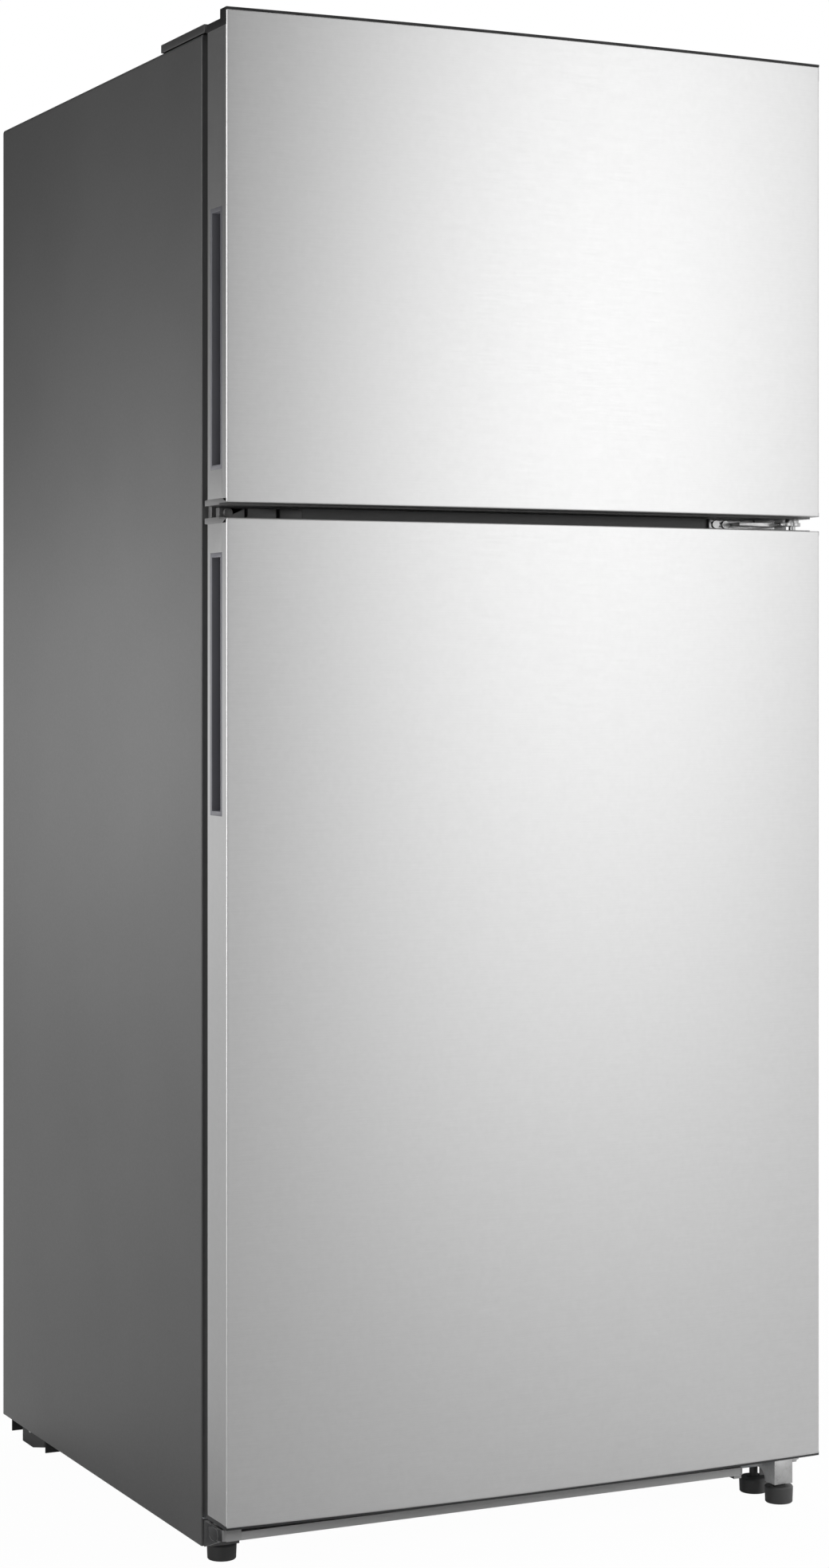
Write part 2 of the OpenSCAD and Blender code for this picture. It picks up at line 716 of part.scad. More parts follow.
module lower_hinge() {
    color("silver") stand() difference() {
        union() {
            // plate on the cabinet, higher where the screws sit behind the door
            block([hinge_x - 56, hinge_x - 4], [-leaf_t, 0], [deck_z - 16, deck_z]);
            block([hinge_x - 56, hinge_x - 26], [-leaf_t, 0], [deck_z - 16, deck_z + 20]);
            block([arm_x[0], hinge_x], [hinge_y, 0], [socket_z[1], deck_z]);
            block([arm_x[0], arm_x[1]], [arm_y, hinge_y], [socket_z[1], deck_z]);
            translate([hinge_x, hinge_y, socket_z[1]]) cylinder(r = collar_r, h = deck_z - socket_z[1]);
            // socket for the foot's stud
            block(arm_x, [arm_y, arm_y + 21], [socket_z[0], deck_z]);
            hinge_web();
            // pin with its riveted end, and the collar that the fresh food door turns on
            translate([hinge_x, hinge_y, socket_z[1] - 3]) cylinder(r = pin_r + 1.5, h = 4);
            translate([hinge_x, hinge_y, deck_z - leaf_t]) cylinder(r = pin_r, h = leaf_t + door_seat - deck_z + pin_len);
            translate([hinge_x, hinge_y, deck_z - 1]) cylinder(r = collar_r, h = door_seat - seat_gap - deck_z + 1);
        }
        translate([hinge_foot_x, hinge_foot_y, socket_z[0] - eps])
            cylinder(r = stud_r + pin_fit, h = socket_z[1] - socket_z[0] - 1);
        for (x = lower_screws) rod_y(screw_r + 0.3, x, [-leaf_t - eps, eps], lower_screw_z, $fn = 24);
    }
}

module hinge_screws() {
    head_r = 4.5;
    head_h = 2.6;
    color("gainsboro") stand() {
        hinge_shafts(screw_r);
        for (p = top_screws) translate([p[0], p[1], cab_top + leaf_t])
            cylinder(r = head_r, h = head_h, $fn = 32);
        for (x = center_screws) rod_y(head_r, x, [-leaf_t - head_h, -leaf_t], center_screw_z, $fn = 32);
        for (x = lower_screws) rod_y(head_r, x, [-leaf_t - head_h, -leaf_t], lower_screw_z, $fn = 32);
    }
}

module top_covers() {
    color("dimgray") stand() {
        // low blanking cover on the left
        difference() {
            block([-half_w + 0.5, -half_w + 96], [0, cover_y[1]], [cab_top, cab_top + 9.4]);
            block([-half_w + 2.5, -half_w + 94], [2, cover_y[1] - 2], [cab_top - eps, cab_top + 7.4]);
        }
        // taller cover over the top hinge
        difference() {
            block([hinge_x - 80, half_w - 0.5], cover_y, [cab_top, cab_top + door_rise]);
            block([hinge_x - 78, half_w - 2.5], [cover_y[0] + 2, cover_y[1] - 2],
                  [cab_top - eps, cab_top + door_rise - 2]);
            block([hinge_x - 2 * leaf_r - 1, hinge_x + 1], [cover_y[0] - eps, 10],
                  [cab_top - eps, leaf_z + leaf_t + 0.4]);
            block([hinge_x - 80 - eps, half_w], [cover_y[0] - eps, 0], [cab_top - eps, cab_top + 6]);
        }
    }
}

// Covers over the left side's spare hinge holes, in the gap between the doors.
module mullion_covers() {
    color("gray") stand() {
        // each cover's ends, from the left side, and how far it stands out
        for (c = [[14, 44, 10], [48.5, 82.5, 8], [87, 113.5, 8]])
            block([-half_w + c[0], -half_w + c[1]], [-c[2], 0], [gap_z - 5.5, gap_z + 5.5]);
        rod_y(5, -half_w + 23.5, [-14, -10], gap_z);
        block([-half_w + 48.5, -half_w + 71.5], [-8, 0], [gap_z - 8, gap_z - 5.5]);
    }
}

// ---------------------------------------------------------------- doors

function span(a, b) = [min(a, b), max(a, b)];

panel_y = [-gasket_gap - panel_t, -gasket_gap];
pocket_mid = -gasket_gap - door_t / 2 + pocket_behind;
pocket_y = [pocket_mid - pocket_w / 2, pocket_mid + pocket_w / 2];
freezer_pocket_z = [freezer_front[0] + pocket_from_gap,
                    freezer_front[0] + pocket_from_gap + freezer_pocket];
fridge_pocket_z = [fridge_front[1] - pocket_from_gap - fridge_pocket,
                   fridge_front[1] - pocket_from_gap];
ridge_gap = 8; // above and below the ridge, inside the compartment
freezer_ridge = freezer_x - ridge_clear;
fridge_ridge = fridge_x - ridge_clear;
freezer_ridge_z = [freezer_z[0] + ridge_gap, freezer_z[1] - ridge_gap];
fridge_ridge_z = [fridge_z[0] + ridge_gap, fridge_z[1] - ridge_gap];
bin_gap = 6; // between a ridge and the bins' ends
freezer_bin_x = freezer_ridge - ridge_w - bin_gap;
fridge_bin_x = fridge_ridge - ridge_w - bin_gap;
freezer_bin_z = [for (i = [0, 1]) freezer_z[0] + low_bin_h + i * freezer_bin_pitch];
dairy_z = fridge_z[1] - dairy_down;
fridge_bin_z = [fridge_z[0] + low_bin_h, dairy_z - upper_bin_drop - full_bin_pitch,
                dairy_z - upper_bin_drop];
boss_wall = 5;

// A door's outline seen from above, with its bowed front.
module door_plan(front_in, side_in, rear) {
    intersection() {
        translate([-half_w + side_in, bow_y - bow_r])
            square([2 * (half_w - side_in), rear - bow_y + bow_r]);
        translate([0, bow_y]) circle(r = bow_r - front_in, $fn = 256);
    }
}

module door_slab(z, front_in, side_in, rear) {
    translate([0, 0, z[0]]) linear_extrude(height = z[1] - z[0])
        door_plan(front_in, side_in, rear);
}

module door_skin(front, side, pocket) {
    difference() {
        translate([0, 0, front[0]]) linear_extrude(height = front[1] - front[0]) difference() {
            door_plan(0, 0, -gasket_gap);
            door_plan(skin_t, skin_t, eps);
        }
        // the side walls are shorter than the front
        for (z = [[front[0] - eps, side[0]], [side[1], front[1] + eps]])
            block([-half_w - eps, half_w + eps], [-door_front + skin_t, 0], z);
        // opening for the handle's rim
        block([-half_w - eps, -half_w + skin_t + eps], [pocket_y[0] - rim_w, pocket_y[1] + rim_w],
              [pocket[0] - rim_w, pocket[1] + rim_w]);
    }
}

// The recessed handle: a finger pocket with a rim that lies flush in the skin.
module handle_body(pocket) {
    block([-half_w + skin_t, -half_w + pocket_depth + pocket_t],
          [pocket_y[0] - pocket_t, pocket_y[1] + pocket_t],
          [pocket[0] - pocket_t, pocket[1] + pocket_t]);
}

module door_handle(pocket) {
    difference() {
        union() {
            block([-half_w, -half_w + skin_t], [pocket_y[0] - rim_w, pocket_y[1] + rim_w],
                  [pocket[0] - rim_w, pocket[1] + rim_w]);
            handle_body(pocket);
        }
        block([-half_w - eps, -half_w + pocket_depth], pocket_y, pocket);
    }
}

// Where a hinge pin enters a door: outer face of the cap, and the direction into the door.
module pin_boss(z, dir) {
    depth = span(z, z + dir * (pin_len + 4));
    translate([hinge_x, hinge_y, depth[0]]) cylinder(r = pin_r + boss_wall, h = depth[1] - depth[0]);
}

module pin_bore(z, dir) {
    depth = span(z - dir * eps, z + dir * (pin_len + 1));
    translate([hinge_x, hinge_y, depth[0]]) cylinder(r = pin_r + pin_fit, h = depth[1] - depth[0]);
}

// An end cap: a plug inside the skin, and a rim that closes the door's end behind the front.
module end_cap(front, side, dir) {
    door_slab(span(side, side + dir * cap_t), skin_t, skin_t, panel_y[0]);
    door_slab(span(front, side), skin_t, 0, -gasket_gap + cap_back);
}

// The cap on the gap between the doors has a step that reaches into the gap.
module gap_cap(front, side, dir) {
    outer = front - dir * cap_reach;
    difference() {
        union() {
            end_cap(front, side, dir);
            block([-half_w, half_w], [cap_front_y, -gasket_gap + cap_back], span(front, outer));
            // tab at the left end, which reaches back almost to the cabinet
            block([-half_w, -half_w + tab_w], tab_y, span(front + dir * tab_h, outer));
            pin_boss(outer, dir);
        }
        pin_bore(outer, dir);
    }
}

low_tier = freezer_front[1] - cap_step;

// Room in the lip's rear face for the round ends of the top hinge's leaf.
module leaf_relief() {
    z = [low_tier - eps, leaf_z + leaf_t + leaf_clear];
    r = leaf_r + leaf_clear;
    for (x = [hinge_x - leaf_r, hinge_x])
        translate([x, hinge_y, z[0]]) cylinder(r = r, h = z[1] - z[0]);
    block([hinge_x - leaf_r, hinge_x], [hinge_y - r, hinge_y], z);
}

module freezer_door_caps() {
    color("dimgray") stand() {
        gap_cap(freezer_front[0], freezer_side[0], 1);
        difference() {
            union() {
                end_cap(low_tier, freezer_side[1], -1);
                difference() {
                    union() {
                        door_slab([low_tier, freezer_front[1]], skin_t, 0, lip_y);
                        door_slab([freezer_front[1] - cap_edge, freezer_front[1]], 0, 0, lip_y);
                    }
                    leaf_relief();
                }
                pin_boss(low_tier, -1);
            }
            pin_bore(low_tier, -1);
        }
    }
}

module fridge_door_caps() {
    color("dimgray") stand() {
        gap_cap(fridge_front[1], fridge_side[1], -1);
        difference() {
            union() {
                end_cap(fridge_front[0], fridge_side[0], 1);
                door_slab([door_seat, fridge_front[0]], skin_t, 0, -gasket_gap + cap_back);
                pin_boss(door_seat, 1);
            }
            pin_bore(door_seat, 1);
        }
    }
}

module ridge_core(half, z) {
    ring(half - panel_t, ridge_w - 2 * panel_t,
         [panel_y[0] - eps, panel_y[1] + ridge_h - panel_t], [z[0] + panel_t, z[1] - panel_t]);
}

// The moulded inner panel with its hollow ridge and the lugs that the bins rest on.
module door_panel(side, half, z, bins) {
    difference() {
        union() {
            block([-half_w + skin_t, half_w - skin_t], panel_y, side);
            ring(half, ridge_w, [panel_y[0], panel_y[1] + ridge_h], z);
            for (b = bins, s = [-1, 1]) translate([s * (half - ridge_w - bin_gap), 0, 0])
                block([-bin_gap, bin_gap], [panel_y[1], panel_y[1] + 0.8 * ridge_h], [b - 7, b]);
        }
        ridge_core(half, z);
    }
}

module door_foam(side, half, z, pocket, bosses) {
    difference() {
        union() {
            door_slab([side[0] + cap_t, side[1] - cap_t], skin_t, skin_t, panel_y[0]);
            intersection() {
                ridge_core(half, z);
                block([-half, half], [panel_y[0], cab_d], z);
            }
        }
        handle_body(pocket);
        for (b = bosses) pin_boss(b[0], b[1]);
    }
}

// The gasket: a base in the panel, a bellows and a soft face that holds the magnet.
module gasket(z) {
    half = half_w - gasket_in;
    y = -gasket_gap;
    grow = gasket_w + 6;
    lips = [z[0] - grow, z[1] + grow];
    ring(half, gasket_w, [y, y + 3], lips);
    ring(half - 4, gasket_w - 8, [y + 3, -5], [lips[0] + 4, lips[1] - 4]);
    ring(half - 1, gasket_w - 2, [-5, 0], [lips[0] + 1, lips[1] - 1]);
}

module freezer_door_skin() {
    color("lightgray") stand()
        door_skin([freezer_front[0], freezer_front[1] - cap_edge], freezer_side, freezer_pocket_z);
}

module freezer_door_foam() {
    color("khaki") stand() door_foam(freezer_side, freezer_ridge, freezer_ridge_z,
        freezer_pocket_z, [[freezer_front[0] - cap_reach, 1], [low_tier, -1]]);
}

module freezer_door_panel() {
    color("white") stand() door_panel(freezer_side, freezer_ridge, freezer_ridge_z, freezer_bin_z);
}

module freezer_door_gasket() {
    color("dimgray") stand() gasket(freezer_z);
}

module freezer_door_handle() {
    color("gray") stand() door_handle(freezer_pocket_z);
}

module freezer_door_bins() {
    color("whitesmoke") stand() for (z = freezer_bin_z)
        tub([-freezer_bin_x, freezer_bin_x], [panel_y[1], freezer_bin_in], [z, z + bin_h], bin_t);
}

module fridge_door_skin() {
    color("lightgray") stand() door_skin(fridge_front, fridge_side, fridge_pocket_z);
}

module fridge_door_foam() {
    color("khaki") stand() door_foam(fridge_side, fridge_ridge, fridge_ridge_z,
        fridge_pocket_z, [[fridge_front[1] + cap_reach, -1], [door_seat, 1]]);
}

module fridge_door_panel() {
    color("white") stand() door_panel(fridge_side, fridge_ridge, fridge_ridge_z,
        concat(fridge_bin_z, [dairy_z]));
}

module fridge_door_gasket() {
    color("dimgray") stand() gasket(fridge_z);
}

module fridge_door_handle() {
    color("gray") stand() door_handle(fridge_pocket_z);
}

// The dairy box fills the left half of the top row, and a half bin the right.
half_bin_gap = 8;
dairy_x = [-fridge_bin_x, -half_bin_gap];
lid_pin_r = 2;
lid_axis = [panel_y[1] + 7, dairy_z + dairy_box_h + 6]; // its Y and Z
lid_fit = 0.6; // beside and under the lid

module fridge_door_bins() {
    color("whitesmoke") stand() {
        for (z = fridge_bin_z)
            tub([-fridge_bin_x, fridge_bin_x], [panel_y[1], fridge_bin_in], [z, z + bin_h], bin_t);
        tub([half_bin_gap, fridge_bin_x], [panel_y[1], fridge_bin_in], [dairy_z, dairy_z + bin_h], bin_t);
        difference() {
            union() {
                tub(dairy_x, [panel_y[1], fridge_bin_in], [dairy_z, dairy_z + dairy_box_h], bin_t);
                for (x = [dairy_x[0], dairy_x[1] - bin_t])
                    block([x, x + bin_t], [panel_y[1], lid_axis[0] + 6],
                          [dairy_z, lid_axis[1] + 6]);
            }
            rod_x(lid_pin_r + pin_fit, [dairy_x[0] - eps, dairy_x[1] + eps], lid_axis[0], lid_axis[1]);
        }
    }
}

module dairy_lid() {
    x = [dairy_x[0] + bin_t + lid_fit, dairy_x[1] - bin_t - lid_fit];
    z = dairy_z + dairy_box_h + lid_fit;
    color("aliceblue") stand() {
        block(x, [lid_axis[0], fridge_bin_in + 2], [z, z + bin_t]);
        block(x, [fridge_bin_in - bin_t + 2, fridge_bin_in + 2], [z, z + 9]);
        rod_x(4, x, lid_axis[0], lid_axis[1]);
        rod_x(lid_pin_r, [dairy_x[0] + 0.2, dairy_x[1] - 0.2], lid_axis[0], lid_axis[1]);
    }
}

// ---------------------------------------------------------------- freezer compartment

evaporator_d = 52;
evaporator_y = [freezer_y - evaporator_d - 6, freezer_y - 6];
evaporator_z = freezer_z[0] + 30;
evaporator_side = 86; // room beside the coil for the tubes that leave it
evaporator_x = freezer_x - evaporator_side;
cover_front = evaporator_y[0] - 26;
evaporator_cover_h = 350;
shroud_r = evaporator_fan_r + 4;
fan_z = freezer_z[0] + evaporator_cover_h - shroud_r - 18;
shaft_r = 2;

module evaporator_coil() {
    rows = 6;
    pitch = 28;
    color("lightsteelblue") stand() {
        for (y = [evaporator_y[0] + 14, evaporator_y[1] - 14])
            serpentine([-evaporator_x, evaporator_x], y, evaporator_z + 14, rows, pitch, tube_r);
        // fins, and end plates that reach the back wall
        for (i = [1 : 17]) translate([-evaporator_x + i * evaporator_x / 9, 0, 0])
            block([-0.3, 0.3], evaporator_y, [evaporator_z, evaporator_z + rows * pitch]);
        for (s = [-1, 1]) translate([s * (evaporator_x - 4), 0, 0])
            block([-0.75, 0.75], [evaporator_y[0] - 2, freezer_y],
                  [evaporator_z - 6, evaporator_z + rows * pitch + 6]);
    }
}

module evaporator_cover() {
    t = 3;
    top = freezer_z[0] + evaporator_cover_h;
    color("white") stand() difference() {
        union() {
            block([-freezer_x, freezer_x], [cover_front, cover_front + t], [freezer_z[0], top]);
            block([-freezer_x, freezer_x], [cover_front, freezer_y], [top - t, top]);
            rod_y(shroud_r + 3, 0, [cover_front, cover_front + 22], fan_z);
        }
        rod_y(shroud_r, 0, [cover_front + t, cover_front + 22 + eps], fan_z);
        // outlet slots in front of the fan and the return slots along the floor
        for (i = [-4 : 4]) translate([0, 0, fan_z + i * 10])
            block([-38 + 3 * abs(i), 38 - 3 * abs(i)], [cover_front - eps, cover_front + t + eps], [-2.5, 2.5]);
        for (i = [-6 : 6]) translate([i * (freezer_x - 57) / 6, 0, freezer_z[0] + 16])
            block([-17, 17], [cover_front - eps, cover_front + t + eps], [-4, 4]);
    }
}

module evaporator_fan_motor() {
    y = cover_front + 22;
    color("gray") stand() difference() {
        union() {
            rod_y(20, 0, [y, y + 26], fan_z);
            for (a = [0, 90]) translate([0, 0, fan_z]) rotate([0, a, 0])
                block([-shroud_r - 2, shroud_r + 2], [y, y + 4], [-5, 5]);
        }
        rod_y(shaft_r + pin_fit, 0, [y - eps, y + 20], fan_z);
    }
}

module evaporator_fan() {
    color("white") stand() translate([0, cover_front + 18, fan_z]) rotate([90, 0, 0])
        rotor(evaporator_fan_r, 14, 12, 5, shaft_r, 22);
}

module freezer_shelf() {
    z = freezer_z[0] + freezer_shelf_h;
    x = freezer_x - 4;
    y = [freezer_bin_in + 30, cover_front - 6];
    color("white") stand() {
        for (i = [0 : wires - 1]) rod_y(wire_r * 0.7, -x + 2 * x * i / (wires - 1), y, z + 1.5 * wire_r, $fn = 24);
        for (v = [y[0] + 8, y[0] + 60, (y[0] + y[1]) / 2, y[1] - 8])
            rod_x(wire_r, [-freezer_x, freezer_x], v, z, $fn = 24);
    }
}

// ---------------------------------------------------------------- fresh food compartment

shelf_x = fridge_x - 3;
glass_low = 4; // height of the glass above the frame's underside

// A frame that lies flat and holds a pane of glass in a groove.
module shelf_frame(y, z) {
    difference() {
        block([-shelf_x, shelf_x], y, [z, z + frame_t]);
        block([-shelf_x + frame_w, shelf_x - frame_w], [y[0] + frame_w, y[1] - frame_w],
              [z - eps, z + frame_t + eps]);
        pane(y, z);
    }
}

module pane(y, z) {
    block([-shelf_x + frame_w / 2, shelf_x - frame_w / 2], [y[0] + frame_w / 2, y[1] - frame_w / 2],
          [z + glass_low, z + glass_low + glass_t]);
}

crisper_cover_y = [shelf_front + 16, hump_y - 1];
slider_x = [-200, -120];
slider_w = 24;
groove_w = 6;
groove_y = crisper_cover_y[0] + 2;

module shelf_frames() {
    color("white") stand() for (z = shelf_heights) shelf_frame([shelf_front, shelf_back], z);
}

module shelf_glass() {
    color("lightcyan", 0.5) stand() {
        for (z = shelf_heights) pane([shelf_front, shelf_back], z);
        pane(crisper_cover_y, crisper_top);
    }
}

module crisper_cover() {
    color("white") stand() difference() {
        union() {
            shelf_frame(crisper_cover_y, crisper_top);
            // middle rail between the drawers
            block([-3, 3], [crisper_cover_y[0], crisper_cover_y[1]], [crisper_top - 6, crisper_top]);
        }
        block(slider_x, [groove_y, groove_y + groove_w - 2], [crisper_top + frame_t - 5, hump_z + eps]);
    }
}

module humidity_slider() {
    color("gray") stand() {
        block([slider_x[0] + 2, slider_x[0] + 2 + slider_w], [groove_y + 0.1, groove_y + groove_w - 2.1],
              [hump_z - 4.7, hump_z + 0.3]);
        block([slider_x[0] + 2, slider_x[0] + 2 + slider_w], [groove_y - 1, groove_y + groove_w],
              [hump_z + 0.3, hump_z + 6]);
    }
}

crisper_half = fridge_x - crisper_side;
crisper_z = [fridge_z[0] + 0.3, crisper_top - 8];
crisper_y = [crisper_front, hump_y - 8];

// A drawer with a rim on three sides and a grip lip along its front.
module crisper(x) {
    tub(x, crisper_y, crisper_z, bin_t);
    block(x, [crisper_y[0], crisper_y[0] + 14], [crisper_z[1] - bin_t, crisper_z[1]]);
    block(x, [crisper_y[0], crisper_y[0] + 5], [crisper_z[0] + 1, crisper_z[1]]);
}

module left_crisper() {
    color("lightcyan") stand() crisper([-crisper_half, -crisper_gap / 2]);
}

module right_crisper() {
    color("lightcyan") stand() crisper([crisper_gap / 2, crisper_half]);
}

housing_x = 190;
housing_behind = 35; // room between the door bins and the housing
housing_d = 200;
housing_y = [fridge_bin_in + housing_behind, fridge_bin_in + housing_behind + housing_d];
housing_h = 42;
knob_x = 80;
knob_z = fridge_z[1] - housing_h / 2;
knob_r = 16;
knob_shaft_r = 4;
switch_x = 230;
switch_z = fridge_z[1] - ridge_gap - ridge_w / 2;
plunger_r = 3;
ridge_face = panel_y[1] + ridge_h;
switch_y = [ridge_face + 18, ridge_face + 60];

module control_housing() {
    t = 2.5;
    color("white") stand() {
        difference() {
            block([-housing_x, housing_x], housing_y, [fridge_z[1] - housing_h, fridge_z[1]]);
            block([-housing_x + t, housing_x - t], [housing_y[0] + 16, housing_y[1] - t],
                  [fridge_z[1] - housing_h + t, fridge_z[1] + eps]);
            for (s = [-1, 1]) rod_y(knob_shaft_r + pin_fit, s * knob_x, [housing_y[0] - eps, housing_y[0] + 15], knob_z);
        }
        // the light switch's box hangs from the roof behind the door's ridge
        difference() {
            block([switch_x - 12, switch_x + 12], switch_y, [switch_z - 11, fridge_z[1]]);
            rod_y(plunger_r + pin_fit, switch_x, [switch_y[0] - eps, switch_y[1] - 4], switch_z);
        }
    }
}

module knob(x) {
    translate([x, housing_y[0], knob_z]) rotate([90, 0, 0]) {
        translate([0, 0, -14]) cylinder(r = knob_shaft_r, h = 15);
        translate([0, 0, seat_gap]) rotate_extrude() polygon([
            [0, 0], [knob_r + 2, 0], [knob_r + 2, 2.5], [knob_r, 3.5], [knob_r - 1, 13],
            [knob_r - 2.5, 14.5], [0, 14.5],
        ]);
        translate([-2, -knob_r + 1.5, 14]) cube([4, 2 * knob_r - 3, 3]);
    }
}

module freezer_knob() {
    color("gray") stand() knob(-knob_x);
}

module fridge_knob() {
    color("gray") stand() knob(knob_x);
}

module light_switch() {
    color("white") stand() rod_y(plunger_r, switch_x, [ridge_face + seat_gap, switch_y[1] - 14], switch_z);
}

module air_duct() {
    y = [shelf_back + 6, fridge_y];
    color("white") stand() difference() {
        block([-62, 62], y, [hump_z, fridge_z[1]]);
        block([-50, 50], [y[0] + 8, y[1] + eps], [hump_z + 12, fridge_z[1] - 12]);
        for (z = [hump_z + 90 : 150 : fridge_z[1] - 60], i = [-1 : 1])
            translate([0, 0, z + 14 * i])
                block([-34, 34], [y[0] - eps, y[0] + 8 + eps], [-3, 3]);
    }
}

// ---------------------------------------------------------------- machine bay

compressor_x = half_w - compressor_in;
compressor_y = bay_y + 78;
grommet_h = 10;
grommet_at = [for (x = [-62, 62], y = [-52, 46]) [x, y]];
plate_z = pan_z + pan_t + grommet_h;

module compressor() {
    r = compressor_r;
    h = compressor_h;
    color("black") stand() translate([compressor_x, compressor_y, plate_z]) {
        difference() {
            block([-72, 72], [-62, 56], [0, 3]);
            for (p = grommet_at) translate([p[0], p[1], -eps]) cylinder(r = 3.2, h = 6, $fn = 24);
        }
        rotate_extrude() polygon([
            [0, 3], [r - 14, 3], [r - 4, 12], [r, 24], [r, 0.48 * h], [r + 3, 0.48 * h],
            [r + 3, 0.52 * h], [r, 0.52 * h], [r, h - 30], [r - 6, h - 14], [r - 20, h - 4],
            [r - 34, h], [0, h],
        ]);
        // terminal cover
        block([-r - 12, -r + 10], [-26, 26], [0.55 * h, 0.82 * h]);
    }
}

module compressor_grommets() {
    color("black") stand() for (p = grommet_at)
        translate([compressor_x + p[0], compressor_y + p[1], pan_z + pan_t]) {
            cylinder(r = 9, h = grommet_h);
            cylinder(r = 3, h = grommet_h + 4);
            translate([0, 0, grommet_h + 3]) cylinder(r = 6, h = 3);
        }
}

coil_x = [-half_w + 50, -half_w + 220];
coil_z = 76;
tray_h = 26;

module condenser_coil() {
    rows = 7;
    pitch = 24;
    color("black") stand() {
        for (i = [0 : 2]) serpentine(coil_x, bay_y + 38 + i * 34, coil_z, rows, pitch, tube_r);
        // brackets at both ends, which stand on the pan
        for (x = coil_x) block([x - 1, x + 1], [bay_y + 20, bay_y + 125],
                               [pan_z + pan_t, coil_z + rows * pitch]);
    }
}

module drain_pan() {
    color("white") stand()
        tub([coil_x[0] + 4, coil_x[1] - 4], [bay_y + 18, bay_y + 130],
            [pan_z + pan_t, pan_z + pan_t + tray_h], 2);
}

fan_x = coil_x[1] + 40;
fan_mid_z = (pan_z + bay_top) / 2;
condenser_fan_y = bay_y + 72;

module condenser_fan_motor() {
    r = condenser_fan_r + 5;
    color("dimgray") stand() {
        // plate with its round mouth
        difference() {
            block([fan_x, fan_x + 4], [condenser_fan_y - r - 4, condenser_fan_y + r + 4], [pan_z + pan_t, fan_mid_z + r + 8]);
            rod_x(r, [fan_x - eps, fan_x + 5], condenser_fan_y, fan_mid_z);
        }
        difference() {
            union() {
                rod_x(22, [fan_x + 14, fan_x + 52], condenser_fan_y, fan_mid_z);
                block([fan_x + 14, fan_x + 18], [condenser_fan_y - r - 4, condenser_fan_y + r + 4],
                      [fan_mid_z - 7, fan_mid_z + 7]);
                for (s = [-1, 1]) translate([0, condenser_fan_y + s * (r + 2), 0])
                    block([fan_x, fan_x + 18], [-2, 2], [fan_mid_z - 7, fan_mid_z + 7]);
            }
            rod_x(shaft_r + pin_fit, [fan_x + 14 - eps, fan_x + 44], condenser_fan_y, fan_mid_z);
        }
    }
}

module condenser_fan() {
    color("gray") stand() translate([fan_x + 10, condenser_fan_y, fan_mid_z]) rotate([0, -90, 0])
        rotor(condenser_fan_r, 16, 14, 5, shaft_r, 28);
}

module rear_access_cover() {
    z = [pan_z + pan_t, bay_top];
    vent_half = 90;
    vent_x = inner_w - vent_half - 35.2;
    color("dimgray") stand() difference() {
        block([-inner_w, inner_w], [back_y - 1, cab_d], z);
        for (x = [-vent_x, vent_x], i = [0 : 8]) translate([x, 0, z[0] + 60 + i * 16])
            block([-vent_half, vent_half], [back_y - 2, cab_d + eps], [-3, 3]);
        // hole for the supply cord
        rod_y(11, 60, [back_y - 2, cab_d + eps], z[0] + 34);
    }
}

// ---------------------------------------------------------------- assembly

outer_cabinet();
rear_panel();
foam_insulation();
freezer_liner();
fridge_liner();
center_mullion();
bottom_deck();
base_pan();
front_rail();
rail_end_cap();
top_covers();
mullion_covers();
top_hinge();
center_hinge();
lower_hinge();
hinge_screws();
roller_axles();
compressor();
compressor_grommets();
condenser_coil();
condenser_fan_motor();
drain_pan();
rear_access_cover();
evaporator_coil();
evaporator_cover();
evaporator_fan_motor();
freezer_shelf();
shelf_frames();
shelf_glass();
crisper_cover();
control_housing();
air_duct();
freezer_door_skin();
freezer_door_foam();
freezer_door_panel();
freezer_door_caps();
freezer_door_gasket();
freezer_door_handle();
freezer_door_bins();
fridge_door_skin();
fridge_door_foam();
fridge_door_panel();
fridge_door_caps();
fridge_door_gasket();
fridge_door_handle();
fridge_door_bins();
dairy_lid();
left_crisper();
right_crisper();
humidity_slider();
freezer_knob();
fridge_knob();
evaporator_fan();
condenser_fan();
left_roller();
right_roller();
left_foot();
right_foot();
hinge_foot();
light_switch();
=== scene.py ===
"""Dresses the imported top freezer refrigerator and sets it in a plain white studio.

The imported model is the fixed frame. This script gives every solid its real finish, makes the
formed steel fronts, the folded cabinet, the gaskets and the moulded parts with their rounded
edges, and creates the camera, the floor and the soft light.
"""

from __future__ import annotations

import json
import logging
import math
from collections.abc import Callable, Iterable, Sequence
from dataclasses import dataclass
from enum import Enum

